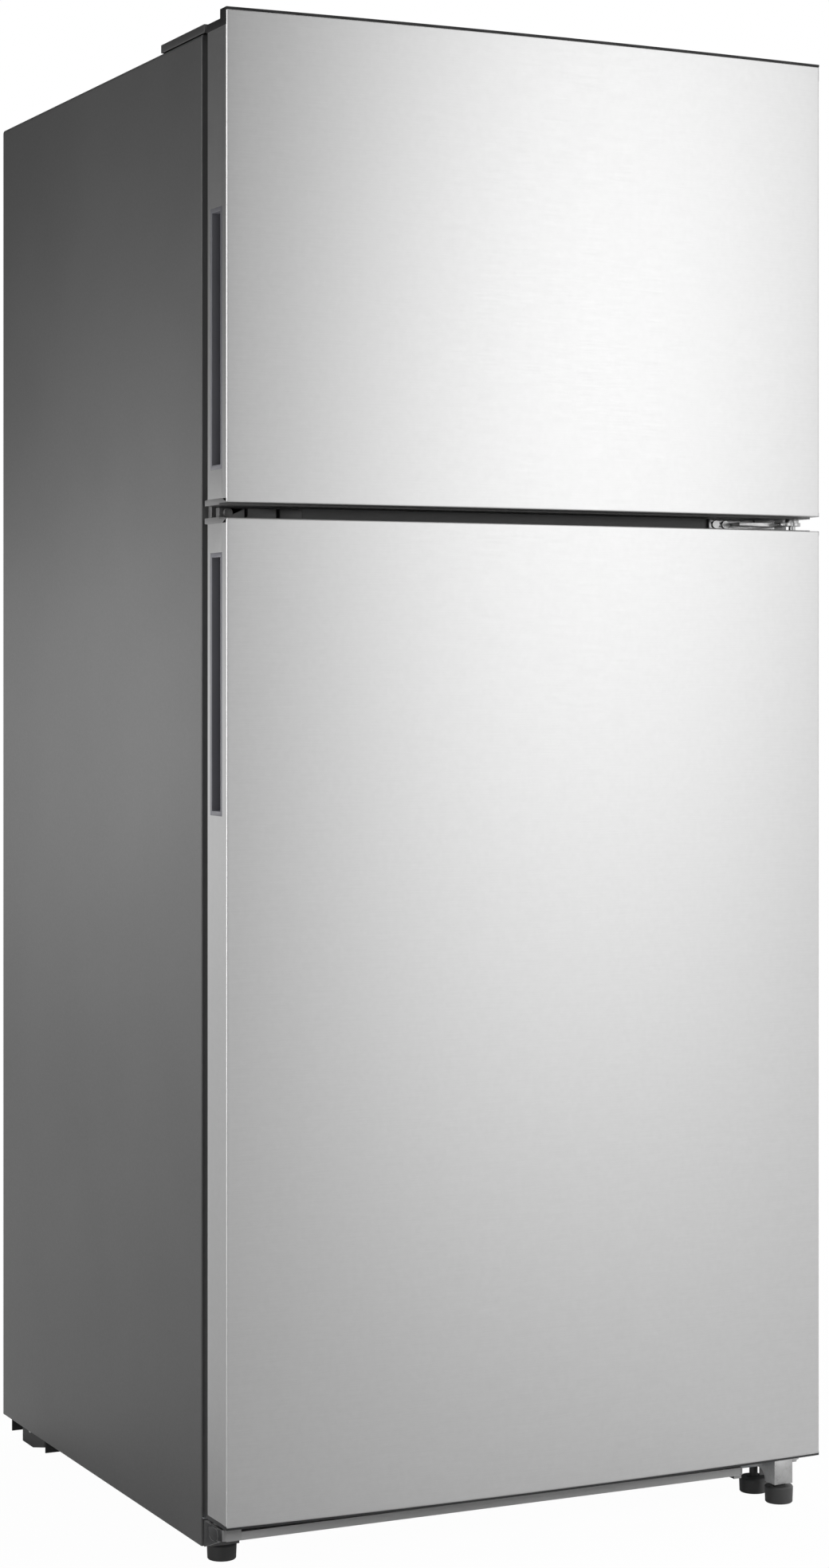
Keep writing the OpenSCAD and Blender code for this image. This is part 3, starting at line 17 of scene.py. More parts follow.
import bmesh
import bpy
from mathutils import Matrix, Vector

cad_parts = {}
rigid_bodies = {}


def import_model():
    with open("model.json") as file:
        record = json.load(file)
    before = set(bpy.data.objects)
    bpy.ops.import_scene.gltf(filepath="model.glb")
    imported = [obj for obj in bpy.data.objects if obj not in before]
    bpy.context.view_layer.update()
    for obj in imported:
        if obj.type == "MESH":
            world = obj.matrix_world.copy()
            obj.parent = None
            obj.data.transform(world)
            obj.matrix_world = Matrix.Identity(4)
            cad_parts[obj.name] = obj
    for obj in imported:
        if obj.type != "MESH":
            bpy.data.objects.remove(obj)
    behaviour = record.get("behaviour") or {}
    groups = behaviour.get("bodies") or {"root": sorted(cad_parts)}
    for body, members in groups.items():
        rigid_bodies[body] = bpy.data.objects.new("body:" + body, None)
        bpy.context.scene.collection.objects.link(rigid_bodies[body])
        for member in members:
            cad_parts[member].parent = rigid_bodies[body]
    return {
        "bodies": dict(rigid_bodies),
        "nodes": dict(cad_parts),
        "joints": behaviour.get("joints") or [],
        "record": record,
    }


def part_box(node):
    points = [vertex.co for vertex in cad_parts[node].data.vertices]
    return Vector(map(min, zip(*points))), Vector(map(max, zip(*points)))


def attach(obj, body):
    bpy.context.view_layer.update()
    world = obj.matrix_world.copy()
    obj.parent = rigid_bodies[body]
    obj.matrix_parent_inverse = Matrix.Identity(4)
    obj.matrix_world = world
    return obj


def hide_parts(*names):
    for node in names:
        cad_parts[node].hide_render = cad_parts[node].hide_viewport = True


log = logging.getLogger("refrigerator")

MM = 0.001
Point = tuple[float, float, float]
Rgba = tuple[float, float, float, float]


# ------------------------------------------------------------------------------ colour and nodes


def linear(hex_colour: str) -> Rgba:
    """Turns an sRGB hex colour into the linear values that shaders use.

    Args:
        hex_colour: Six hex digits after a hash sign.

    Returns:
        Linear red, green, blue and an alpha of one.
    """
    channels = []
    for start in (1, 3, 5):
        value = int(hex_colour[start : start + 2], 16) / 255
        channels.append(value / 12.92 if value <= 0.04045 else ((value + 0.055) / 1.055) ** 2.4)
    return (channels[0], channels[1], channels[2], 1.0)


def scaled(colour: Rgba, factor: float) -> Rgba:
    """Makes a linear colour lighter or darker by a factor."""
    return (colour[0] * factor, colour[1] * factor, colour[2] * factor, 1.0)


def per_metre(size_mm: float) -> float:
    """Gives the scale at which a pattern repeats about once in a size in millimetres."""
    return 1000.0 / size_mm


def add_node(tree: bpy.types.NodeTree, kind: str, inputs: dict | None = None, **fields) -> bpy.types.Node:
    """Adds a shader node and fills it in.

    Args:
        tree: The node tree of a material or of the world.
        kind: The node's Blender type name.
        inputs: Input sockets by name or number, each with a value or a socket to link from.
        fields: The node's own settings.

    Returns:
        The new node.
    """
    node = tree.nodes.new(kind)
    for name, value in fields.items():
        setattr(node, name, value)
    for key, value in (inputs or {}).items():
        if isinstance(value, bpy.types.NodeSocket):
            tree.links.new(value, node.inputs[key])
        else:
            node.inputs[key].default_value = value
    return node


def streaks(tree: bpy.types.NodeTree, pitch_mm: Point, detail: float = 2.0) -> bpy.types.NodeSocket:
    """Gives noise whose cells have a real size along each axis of the object.

    Args:
        tree: The material's node tree.
        pitch_mm: Size of a cell along X, Y and Z.
        detail: Layers of finer noise.

    Returns:
        The noise's value socket, about 0.5 on average.
    """
    place = add_node(tree, "ShaderNodeTexCoord")
    stretch = add_node(
        tree,
        "ShaderNodeMapping",
        {"Vector": place.outputs["Object"], "Scale": tuple(per_metre(p) for p in pitch_mm)},
    )
    noise = add_node(
        tree,
        "ShaderNodeTexNoise",
        {"Vector": stretch.outputs["Vector"], "Scale": 1.0, "Detail": detail, "Roughness": 0.55},
    )
    return noise.outputs["Fac"]


def grain(tree: bpy.types.NodeTree, size_mm: float, detail: float = 2.0) -> bpy.types.NodeSocket:
    """Gives even noise with cells of one real size."""
    return streaks(tree, (size_mm, size_mm, size_mm), detail)


def tint(
    tree: bpy.types.NodeTree, value: bpy.types.NodeSocket, low: Rgba, high: Rgba
) -> bpy.types.NodeSocket:
    """Runs from one colour to another as a noise value goes from 0.3 to 0.7."""
    ramp = add_node(tree, "ShaderNodeValToRGB", {"Fac": value})
    ramp.color_ramp.elements[0].position = 0.3
    ramp.color_ramp.elements[1].position = 0.7
    ramp.color_ramp.elements[0].color = low
    ramp.color_ramp.elements[1].color = high
    return ramp.outputs["Color"]


def spread(
    tree: bpy.types.NodeTree, value: bpy.types.NodeSocket, low: float, high: float
) -> bpy.types.NodeSocket:
    """Runs from one number to another as a noise value goes from 0.3 to 0.7."""
    span = add_node(
        tree,
        "ShaderNodeMapRange",
        {"Value": value, "From Min": 0.3, "From Max": 0.7, "To Min": low, "To Max": high},
    )
    return span.outputs["Result"]


def relief(
    tree: bpy.types.NodeTree,
    height: bpy.types.NodeSocket,
    depth_mm: float,
    strength: float = 1.0,
) -> bpy.types.NodeSocket:
    """Turns a noise value into surface relief of a real depth."""
    bump = add_node(
        tree,
        "ShaderNodeBump",
        {"Height": height, "Distance": depth_mm * MM, "Strength": strength},
    )
    return bump.outputs["Normal"]


# ------------------------------------------------------------------------------ finishes


@dataclass(frozen=True)
class Finish:
    """A surface finish: a real material and how its surface was made."""

    name: str
    colour: str
    roughness: float

    def paint(self, tree: bpy.types.NodeTree, shader: bpy.types.Node) -> None:
        """Adds the finish's own pattern to the shader.

        Args:
            tree: The material's node tree.
            shader: Its Principled BSDF.
        """
        raise NotImplementedError

    def material(self) -> bpy.types.Material:
        """Returns the Blender material, which is made on its first use."""
        made = bpy.data.materials.get(self.name)
        if made is not None:
            return made
        made = bpy.data.materials.new(self.name)
        made.use_nodes = True
        tree = made.node_tree
        shader = tree.nodes["Principled BSDF"]
        shader.inputs["Base Color"].default_value = linear(self.colour)
        shader.inputs["Roughness"].default_value = self.roughness
        self.paint(tree, shader)
        return made


@dataclass(frozen=True)
class BrushedStainless(Finish):
    """430 stainless sheet, belt-brushed along its width and clear-coated against prints.

    The brushing draws reflections out across the lines, so that a lamp becomes a tall soft
    glow. Real lines are about 0.1 mm apart; they are drawn 1.1 mm apart so that they show.
    """

    line_mm: float = 1.1
    stroke_mm: float = 42.0
    anisotropy: float = 0.55

    def paint(self, tree: bpy.types.NodeTree, shader: bpy.types.Node) -> None:
        """Adds the brushed lines, a fine mottle and the direction of the brushing."""
        lines = streaks(tree, (self.stroke_mm, self.stroke_mm, self.line_mm), 3.0)
        mottle = grain(tree, 7.0, 3.0)
        base = linear(self.colour)
        line_tint = tint(tree, lines, scaled(base, 0.955), scaled(base, 1.045))
        mottle_tint = tint(tree, mottle, scaled(base, 0.97), scaled(base, 1.03))
        mixed = add_node(
            tree, "ShaderNodeMix", {0: 0.5, 6: line_tint, 7: mottle_tint}, data_type="RGBA"
        )
        tree.links.new(mixed.outputs[2], shader.inputs["Base Color"])
        tree.links.new(
            spread(tree, lines, self.roughness - 0.03, self.roughness + 0.03),
            shader.inputs["Roughness"],
        )
        tree.links.new(relief(tree, lines, 0.012, 0.35), shader.inputs["Normal"])
        shader.inputs["Metallic"].default_value = 1.0
        shader.inputs["Anisotropic"].default_value = self.anisotropy
        shader.inputs["Anisotropic Rotation"].default_value = 0.25
        along = add_node(tree, "ShaderNodeTangent", direction_type="RADIAL", axis="Z")
        tree.links.new(along.outputs["Tangent"], shader.inputs["Tangent"])


@dataclass(frozen=True)
class BakedEnamel(Finish):
    """Polyester enamel sprayed on steel sheet and baked, with a fine orange peel."""

    peel_mm: float = 2.6
    peel_depth_mm: float = 0.012

    def paint(self, tree: bpy.types.NodeTree, shader: bpy.types.Node) -> None:
        """Adds the orange peel and the slight unevenness of the spray."""
        peel = grain(tree, self.peel_mm, 2.0)
        drift = grain(tree, 160.0, 1.0)
        base = linear(self.colour)
        tree.links.new(tint(tree, drift, scaled(base, 0.96), scaled(base, 1.04)), shader.inputs["Base Color"])
        tree.links.new(
            spread(tree, peel, self.roughness - 0.03, self.roughness + 0.03), shader.inputs["Roughness"]
        )
        tree.links.new(relief(tree, peel, self.peel_depth_mm), shader.inputs["Normal"])
        shader.inputs["IOR"].default_value = 1.5


@dataclass(frozen=True)
class GalvanisedSheet(Finish):
    """Hot-dip galvanised steel sheet: pale, with spangles that each catch the light their way."""

    spangle_mm: float = 9.0

    def paint(self, tree: bpy.types.NodeTree, shader: bpy.types.Node) -> None:
        """Adds the zinc spangles in tone and roughness."""
        place = add_node(tree, "ShaderNodeTexCoord")
        cells = add_node(
            tree,
            "ShaderNodeTexVoronoi",
            {"Vector": place.outputs["Object"], "Scale": per_metre(self.spangle_mm)},
        )
        tone = add_node(tree, "ShaderNodeSeparateColor", {"Color": cells.outputs["Color"]})
        base = linear(self.colour)
        flake = tone.outputs["Red"]
        tree.links.new(tint(tree, flake, scaled(base, 0.9), scaled(base, 1.06)), shader.inputs["Base Color"])
        tree.links.new(
            spread(tree, flake, self.roughness - 0.07, self.roughness + 0.07), shader.inputs["Roughness"]
        )
        shader.inputs["Metallic"].default_value = 1.0


@dataclass(frozen=True)
class PlatedSteel(Finish):
    """Pressed or turned steel with a bright zinc plate, a little clouded from the bath."""

    cloud_mm: float = 6.0

    def paint(self, tree: bpy.types.NodeTree, shader: bpy.types.Node) -> None:
        """Adds the clouding of the plate and faint press marks."""
        cloud = grain(tree, self.cloud_mm, 3.0)
        base = linear(self.colour)
        tree.links.new(tint(tree, cloud, scaled(base, 0.9), scaled(base, 1.05)), shader.inputs["Base Color"])
        tree.links.new(
            spread(tree, cloud, self.roughness - 0.05, self.roughness + 0.08), shader.inputs["Roughness"]
        )
        tree.links.new(relief(tree, grain(tree, 1.2), 0.01), shader.inputs["Normal"])
        shader.inputs["Metallic"].default_value = 1.0


@dataclass(frozen=True)
class DrawnMetal(Finish):
    """Drawn tube or rolled foil, bare, with faint lines along its length and light tarnish."""

    tarnish: float = 0.12

    def paint(self, tree: bpy.types.NodeTree, shader: bpy.types.Node) -> None:
        """Adds the tarnish and the draw lines."""
        stain = grain(tree, 14.0, 4.0)
        base = linear(self.colour)
        tree.links.new(
            tint(tree, stain, scaled(base, 1 - 2 * self.tarnish), scaled(base, 1 + self.tarnish / 3)),
            shader.inputs["Base Color"],
        )
        tree.links.new(
            spread(tree, stain, self.roughness + 0.12, self.roughness - 0.04), shader.inputs["Roughness"]
        )
        tree.links.new(relief(tree, streaks(tree, (30.0, 0.8, 0.8)), 0.008), shader.inputs["Normal"])
        shader.inputs["Metallic"].default_value = 1.0


@dataclass(frozen=True)
class MouldedPlastic(Finish):
    """Injection-moulded ABS, polypropylene or polyamide with a fine spark-eroded grain."""

    grain_mm: float = 0.9
    grain_depth_mm: float = 0.015
    ior: float = 1.5

    def paint(self, tree: bpy.types.NodeTree, shader: bpy.types.Node) -> None:
        """Adds the mould's grain and the slow colour drift of the melt."""
        texture = grain(tree, self.grain_mm, 2.0)
        drift = grain(tree, 45.0, 2.0)
        base = linear(self.colour)
        tree.links.new(tint(tree, drift, scaled(base, 0.95), scaled(base, 1.05)), shader.inputs["Base Color"])
        tree.links.new(
            spread(tree, texture, self.roughness - 0.04, self.roughness + 0.05), shader.inputs["Roughness"]
        )
        tree.links.new(relief(tree, texture, self.grain_depth_mm), shader.inputs["Normal"])
        shader.inputs["IOR"].default_value = self.ior


@dataclass(frozen=True)
class FormedLiner(Finish):
    """Vacuum-formed high-impact polystyrene sheet: glossy white with a shallow ripple."""

    ripple_mm: float = 28.0

    def paint(self, tree: bpy.types.NodeTree, shader: bpy.types.Node) -> None:
        """Adds the ripple that forming leaves."""
        ripple = grain(tree, self.ripple_mm, 1.0)
        base = linear(self.colour)
        tree.links.new(tint(tree, ripple, scaled(base, 0.985), base), shader.inputs["Base Color"])
        tree.links.new(
            spread(tree, grain(tree, 5.0), self.roughness - 0.03, self.roughness + 0.05),
            shader.inputs["Roughness"],
        )
        tree.links.new(relief(tree, ripple, 0.05), shader.inputs["Normal"])
        shader.inputs["IOR"].default_value = 1.59


@dataclass(frozen=True)
class ClearPolystyrene(Finish):
    """Clear crystal polystyrene, injection-moulded, with faint flow lines from the gate."""

    transmission: float = 0.92

    def paint(self, tree: bpy.types.NodeTree, shader: bpy.types.Node) -> None:
        """Adds the flow lines and lets the light through."""
        flow = streaks(tree, (18.0, 18.0, 70.0), 2.0)
        base = linear(self.colour)
        tree.links.new(tint(tree, flow, scaled(base, 0.97), base), shader.inputs["Base Color"])
        tree.links.new(
            spread(tree, flow, self.roughness - 0.02, self.roughness + 0.04), shader.inputs["Roughness"]
        )
        tree.links.new(relief(tree, flow, 0.04), shader.inputs["Normal"])
        shader.inputs["Transmission Weight"].default_value = self.transmission
        shader.inputs["IOR"].default_value = 1.59


@dataclass(frozen=True)
class ToughenedGlass(Finish):
    """Clear soda-lime float glass, toughened: iron makes it green, rollers leave a slight wave."""

    wave_mm: float = 40.0

    def paint(self, tree: bpy.types.NodeTree, shader: bpy.types.Node) -> None:
        """Adds the roller wave, a trace of dust in the roughness and the green body."""
        wave = streaks(tree, (400.0, self.wave_mm, self.wave_mm), 1.0)
        base = linear(self.colour)
        tree.links.new(tint(tree, wave, scaled(base, 0.985), base), shader.inputs["Base Color"])
        tree.links.new(
            spread(tree, grain(tree, 3.0), self.roughness, self.roughness + 0.02),
            shader.inputs["Roughness"],
        )
        tree.links.new(relief(tree, wave, 0.02), shader.inputs["Normal"])
        shader.inputs["Transmission Weight"].default_value = 1.0
        shader.inputs["IOR"].default_value = 1.52


@dataclass(frozen=True)
class ExtrudedVinyl(Finish):
    """Plasticised PVC, extruded for gaskets: matt, soft and a little bloomed."""

    def paint(self, tree: bpy.types.NodeTree, shader: bpy.types.Node) -> None:
        """Adds the bloom and the drag marks of the die."""
        bloom = grain(tree, 8.0, 3.0)
        base = linear(self.colour)
        tree.links.new(tint(tree, bloom, scaled(base, 0.85), scaled(base, 1.2)), shader.inputs["Base Color"])
        tree.links.new(
            spread(tree, bloom, self.roughness - 0.05, self.roughness + 0.1), shader.inputs["Roughness"]
        )
        tree.links.new(relief(tree, grain(tree, 0.8), 0.01), shader.inputs["Normal"])
        shader.inputs["IOR"].default_value = 1.53


@dataclass(frozen=True)
class BlownFoam(Finish):
    """Rigid polyurethane blown in place: a buff skin pitted with burst cells."""

    cell_mm: float = 2.2

    def paint(self, tree: bpy.types.NodeTree, shader: bpy.types.Node) -> None:
        """Adds the cells and the streaky tone of the skin."""
        place = add_node(tree, "ShaderNodeTexCoord")
        cells = add_node(
            tree,
            "ShaderNodeTexVoronoi",
            {"Vector": place.outputs["Object"], "Scale": per_metre(self.cell_mm)},
        )
        tone = grain(tree, 20.0, 3.0)
        base = linear(self.colour)
        tree.links.new(tint(tree, tone, scaled(base, 0.88), scaled(base, 1.08)), shader.inputs["Base Color"])
        tree.links.new(
            spread(tree, tone, self.roughness - 0.05, self.roughness), shader.inputs["Roughness"]
        )
        tree.links.new(relief(tree, cells.outputs["Distance"], 0.4), shader.inputs["Normal"])


STEEL_FRONT = BrushedStainless("brushed_430_stainless", "#c7c7c7", 0.34)
CABINET_ENAMEL = BakedEnamel("graphite_baked_enamel", "#696969", 0.36)
MULLION_ENAMEL = BakedEnamel("graphite_mullion_enamel", "#3f3f3f", 0.34)
RAIL_ENAMEL = BakedEnamel("grey_rail_enamel", "#c0c0c0", 0.42)
WHITE_WIRE_COAT = BakedEnamel("white_wire_coating", "#eceeee", 0.3, peel_mm=1.2)
BLACK_ENAMEL = BakedEnamel("black_gloss_enamel", "#121314", 0.22, peel_mm=1.8)
BLACK_COATED = BakedEnamel("black_dipped_enamel", "#161617", 0.5)
GALVANISED = GalvanisedSheet("galvanised_sheet", "#b4b8bb", 0.42)
ZINC = PlatedSteel("bright_zinc_plate", "#bcbcbc", 0.3)
FIN_ALUMINIUM = DrawnMetal("rolled_aluminium", "#d3d5d8", 0.3)
CAP_ABS = MouldedPlastic("charcoal_moulded_abs", "#2a2b2c", 0.42)
TOP_CAP_ABS = MouldedPlastic("black_moulded_abs", "#0a0a0b", 0.5)
GREY_ABS = MouldedPlastic("mid_grey_moulded_abs", "#787878", 0.42)
POCKET_ABS = MouldedPlastic("slate_moulded_abs", "#77777d", 0.36)
COVER_ABS = MouldedPlastic("graphite_moulded_abs", "#4d4d4d", 0.42)
BRACKET_ABS = MouldedPlastic("bracket_moulded_abs", "#b0b0b0", 0.45)
FOOT_NYLON = MouldedPlastic("dark_moulded_polyamide", "#444444", 0.48)
ROLLER_NYLON = MouldedPlastic("black_moulded_polyamide", "#1a1a1b", 0.45)
FAN_PLASTIC = MouldedPlastic("black_moulded_polypropylene", "#1e1f20", 0.4)
WHITE_ABS = MouldedPlastic("white_moulded_abs", "#eef0f0", 0.32)
KNOB_ABS = MouldedPlastic("light_grey_moulded_abs", "#a9acb0", 0.36)
LINER = FormedLiner("white_formed_polystyrene", "#f1f3f3", 0.24)
CLEAR_BIN = ClearPolystyrene("clear_moulded_polystyrene", "#f4f8fa", 0.06)
GLASS = ToughenedGlass("toughened_float_glass", "#dcefe6", 0.02)
VINYL = ExtrudedVinyl("dark_extruded_vinyl", "#1a1a1b", 0.6)
GROMMET_RUBBER = ExtrudedVinyl("black_moulded_rubber", "#19191a", 0.7)
FOAM = BlownFoam("blown_polyurethane", "#d9c48f", 0.9)


# ------------------------------------------------------------------------------ mesh helpers


def smooth_by_angle(mesh: bpy.types.Mesh, degrees: float = 30.0) -> None:
    """Shades a mesh smooth, except across edges sharper than an angle."""
    mesh.polygons.foreach_set("use_smooth", [True] * len(mesh.polygons))
    mesh.set_sharp_from_angle(angle=math.radians(degrees))


def place_piece(
    name: str,
    mesh: bpy.types.Mesh,
    body: str,
    finish: Finish,
    replaced: Sequence[str] = (),
) -> bpy.types.Object:
    """Puts a finished mesh in the scene as a piece of the refrigerator.

    Args:
        name: The piece's name.
        mesh: Its mesh, in metres and in place.
        body: The moving body that carries it.
        finish: Its finish.
        replaced: The solids that it stands for.

    Returns:
        The new object.
    """
    piece = bpy.data.objects.new(name, mesh)
    bpy.context.scene.collection.objects.link(piece)
    mesh.materials.clear()
    mesh.materials.append(finish.material())
    smooth_by_angle(mesh)
    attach(piece, body)
    if replaced:
        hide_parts(*replaced)
    log.info("piece %s rides on %s, %d faces", name, body, len(mesh.polygons))
    return piece


def mesh_from(name: str, points: Iterable[Point], faces: Iterable[Sequence[int]]) -> bpy.types.Mesh:
    """Makes a mesh from points and faces, with its faces turned outwards."""
    mesh = bpy.data.meshes.new(name)
    mesh.from_pydata([tuple(p) for p in points], [], [tuple(f) for f in faces])
    shape = bmesh.new()
    shape.from_mesh(mesh)
    bmesh.ops.recalc_face_normals(shape, faces=shape.faces)
    shape.to_mesh(mesh)
    shape.free()
    return mesh


EdgeTest = Callable[[bmesh.types.BMEdge], bool]
FaceTest = Callable[[Vector], bool]


def sharp_outer_edge(edge: bmesh.types.BMEdge) -> bool:
    """Says whether an edge is an outer corner of more than about 40 degrees."""
    return len(edge.link_faces) == 2 and edge.calc_face_angle() > 0.7 and edge.is_convex


def everything(_: Vector) -> bool:
    """Keeps every face of a solid."""
    return True


def rounded_mesh(
    name: str,
    source: bpy.types.Object,
    radius_mm: float,
    wanted: EdgeTest,
    kept: FaceTest = everything,
    steps: int = 2,
) -> bpy.types.Mesh:
    """Copies a solid's mesh and rounds chosen edges of it.

    Args:
        name: The new mesh's name.
        source: The solid's object, which stays as it is.
        radius_mm: Radius of the rounding.
        wanted: Says for each edge whether it is rounded.
        kept: Says from a face's middle whether the copy keeps it.
        steps: Faces across each rounding.

    Returns:
        The rounded mesh.
    """
    shape = bmesh.new()
    shape.from_mesh(source.data)
    bmesh.ops.remove_doubles(shape, verts=shape.verts, dist=0.002 * MM)
    left_out = [face for face in shape.faces if not kept(face.calc_center_median())]
    bmesh.ops.delete(shape, geom=left_out, context="FACES")
    bmesh.ops.dissolve_limit(
        shape, angle_limit=math.radians(0.4), verts=shape.verts, edges=shape.edges
    )
    chosen = [edge for edge in shape.edges if wanted(edge)]
    bmesh.ops.bevel(
        shape,
        geom=chosen,
        offset=radius_mm * MM,
        offset_type="OFFSET",
        segments=steps,
        profile=0.5,
        affect="EDGES",
        clamp_overlap=True,
    )
    bmesh.ops.recalc_face_normals(shape, faces=shape.faces)
    mesh = bpy.data.meshes.new(name)
    shape.to_mesh(mesh)
    shape.free()
    return mesh


def weld(mesh: bpy.types.Mesh) -> None:
    """Joins points that coincide and drops the faces that closed up."""
    shape = bmesh.new()
    shape.from_mesh(mesh)
    bmesh.ops.remove_doubles(shape, verts=shape.verts, dist=0.002 * MM)
    bmesh.ops.dissolve_degenerate(shape, edges=shape.edges, dist=0.002 * MM)
    shape.to_mesh(mesh)
    shape.free()


def face_away(
    mesh: bpy.types.Mesh, reach: Callable[[bmesh.types.BMFace], float], outwards: Vector
) -> None:
    """Turns an open sheet's faces to the outside.

    Args:
        mesh: The sheet, whose faces already agree with each other.
        reach: Measures each face; the one with the most is compared.
        outwards: The direction that this face has to look in.
    """
    shape = bmesh.new()
    shape.from_mesh(mesh)
    outer = max(shape.faces, key=reach)
    outer.normal_update()
    if outer.normal.dot(outwards) < 0:
        bmesh.ops.reverse_faces(shape, faces=shape.faces)
    shape.to_mesh(mesh)
    shape.free()


def thicken(piece: bpy.types.Object, sheet_mm: float) -> None:
    """Gives a formed sheet its thickness, inwards, and keeps its flat faces flat."""
    solidify = piece.modifiers.new("sheet thickness", "SOLIDIFY")
    solidify.thickness = sheet_mm * MM
    solidify.offset = -1.0
    even = piece.modifiers.new("flat faces stay flat", "WEIGHTED_NORMAL")
    even.weight = 100
    even.keep_sharp = True


# ------------------------------------------------------------------------------ the frame


@dataclass
class Frame:
    """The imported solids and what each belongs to."""

    solids: dict[str, bpy.types.Object]
    bodies: dict[str, list[str]]
    slots: dict[str, str]

    @classmethod
    def load(cls) -> "Frame":
        """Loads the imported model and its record."""
        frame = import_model()
        record = frame["record"]
        slots = {part["node"]: part["material_slot"] for part in record["subparts"]}
        return cls(frame["nodes"], record["behaviour"]["bodies"], slots)

    def body_of(self, solid: str) -> str:
        """Returns the name of the body that a solid belongs to."""
        return next(body for body, names in self.bodies.items() if solid in names)

    def dress(self, finish: Finish, *solids: str) -> None:
        """Gives solids that keep their shape a finish."""
        for name in solids:
            materials = self.solids[name].data.materials
            materials.clear()
            materials.append(finish.material())
            log.info("solid %s is %s", name, finish.name)

    def round_off(
        self,
        solid: str,
        finish: Finish,
        radius_mm: float,
        wanted: EdgeTest = sharp_outer_edge,
        kept: FaceTest = everything,
        suffix: str = "moulded",
    ) -> bpy.types.Object:
        """Stands a copy of a solid with rounded edges in its place.

        Args:
            solid: The solid's name.
            finish: The copy's finish.
            radius_mm: Radius of the edges.
            wanted: Says which edges are rounded.
            kept: Says which of the solid's faces the copy has.
            suffix: End of the copy's name.

        Returns:
            The copy.
        """
        name = f"{solid}_{suffix}"
        mesh = rounded_mesh(name, self.solids[solid], radius_mm, wanted, kept)
        return place_piece(name, mesh, self.body_of(solid), finish, [solid])


# ------------------------------------------------------------------------------ doors


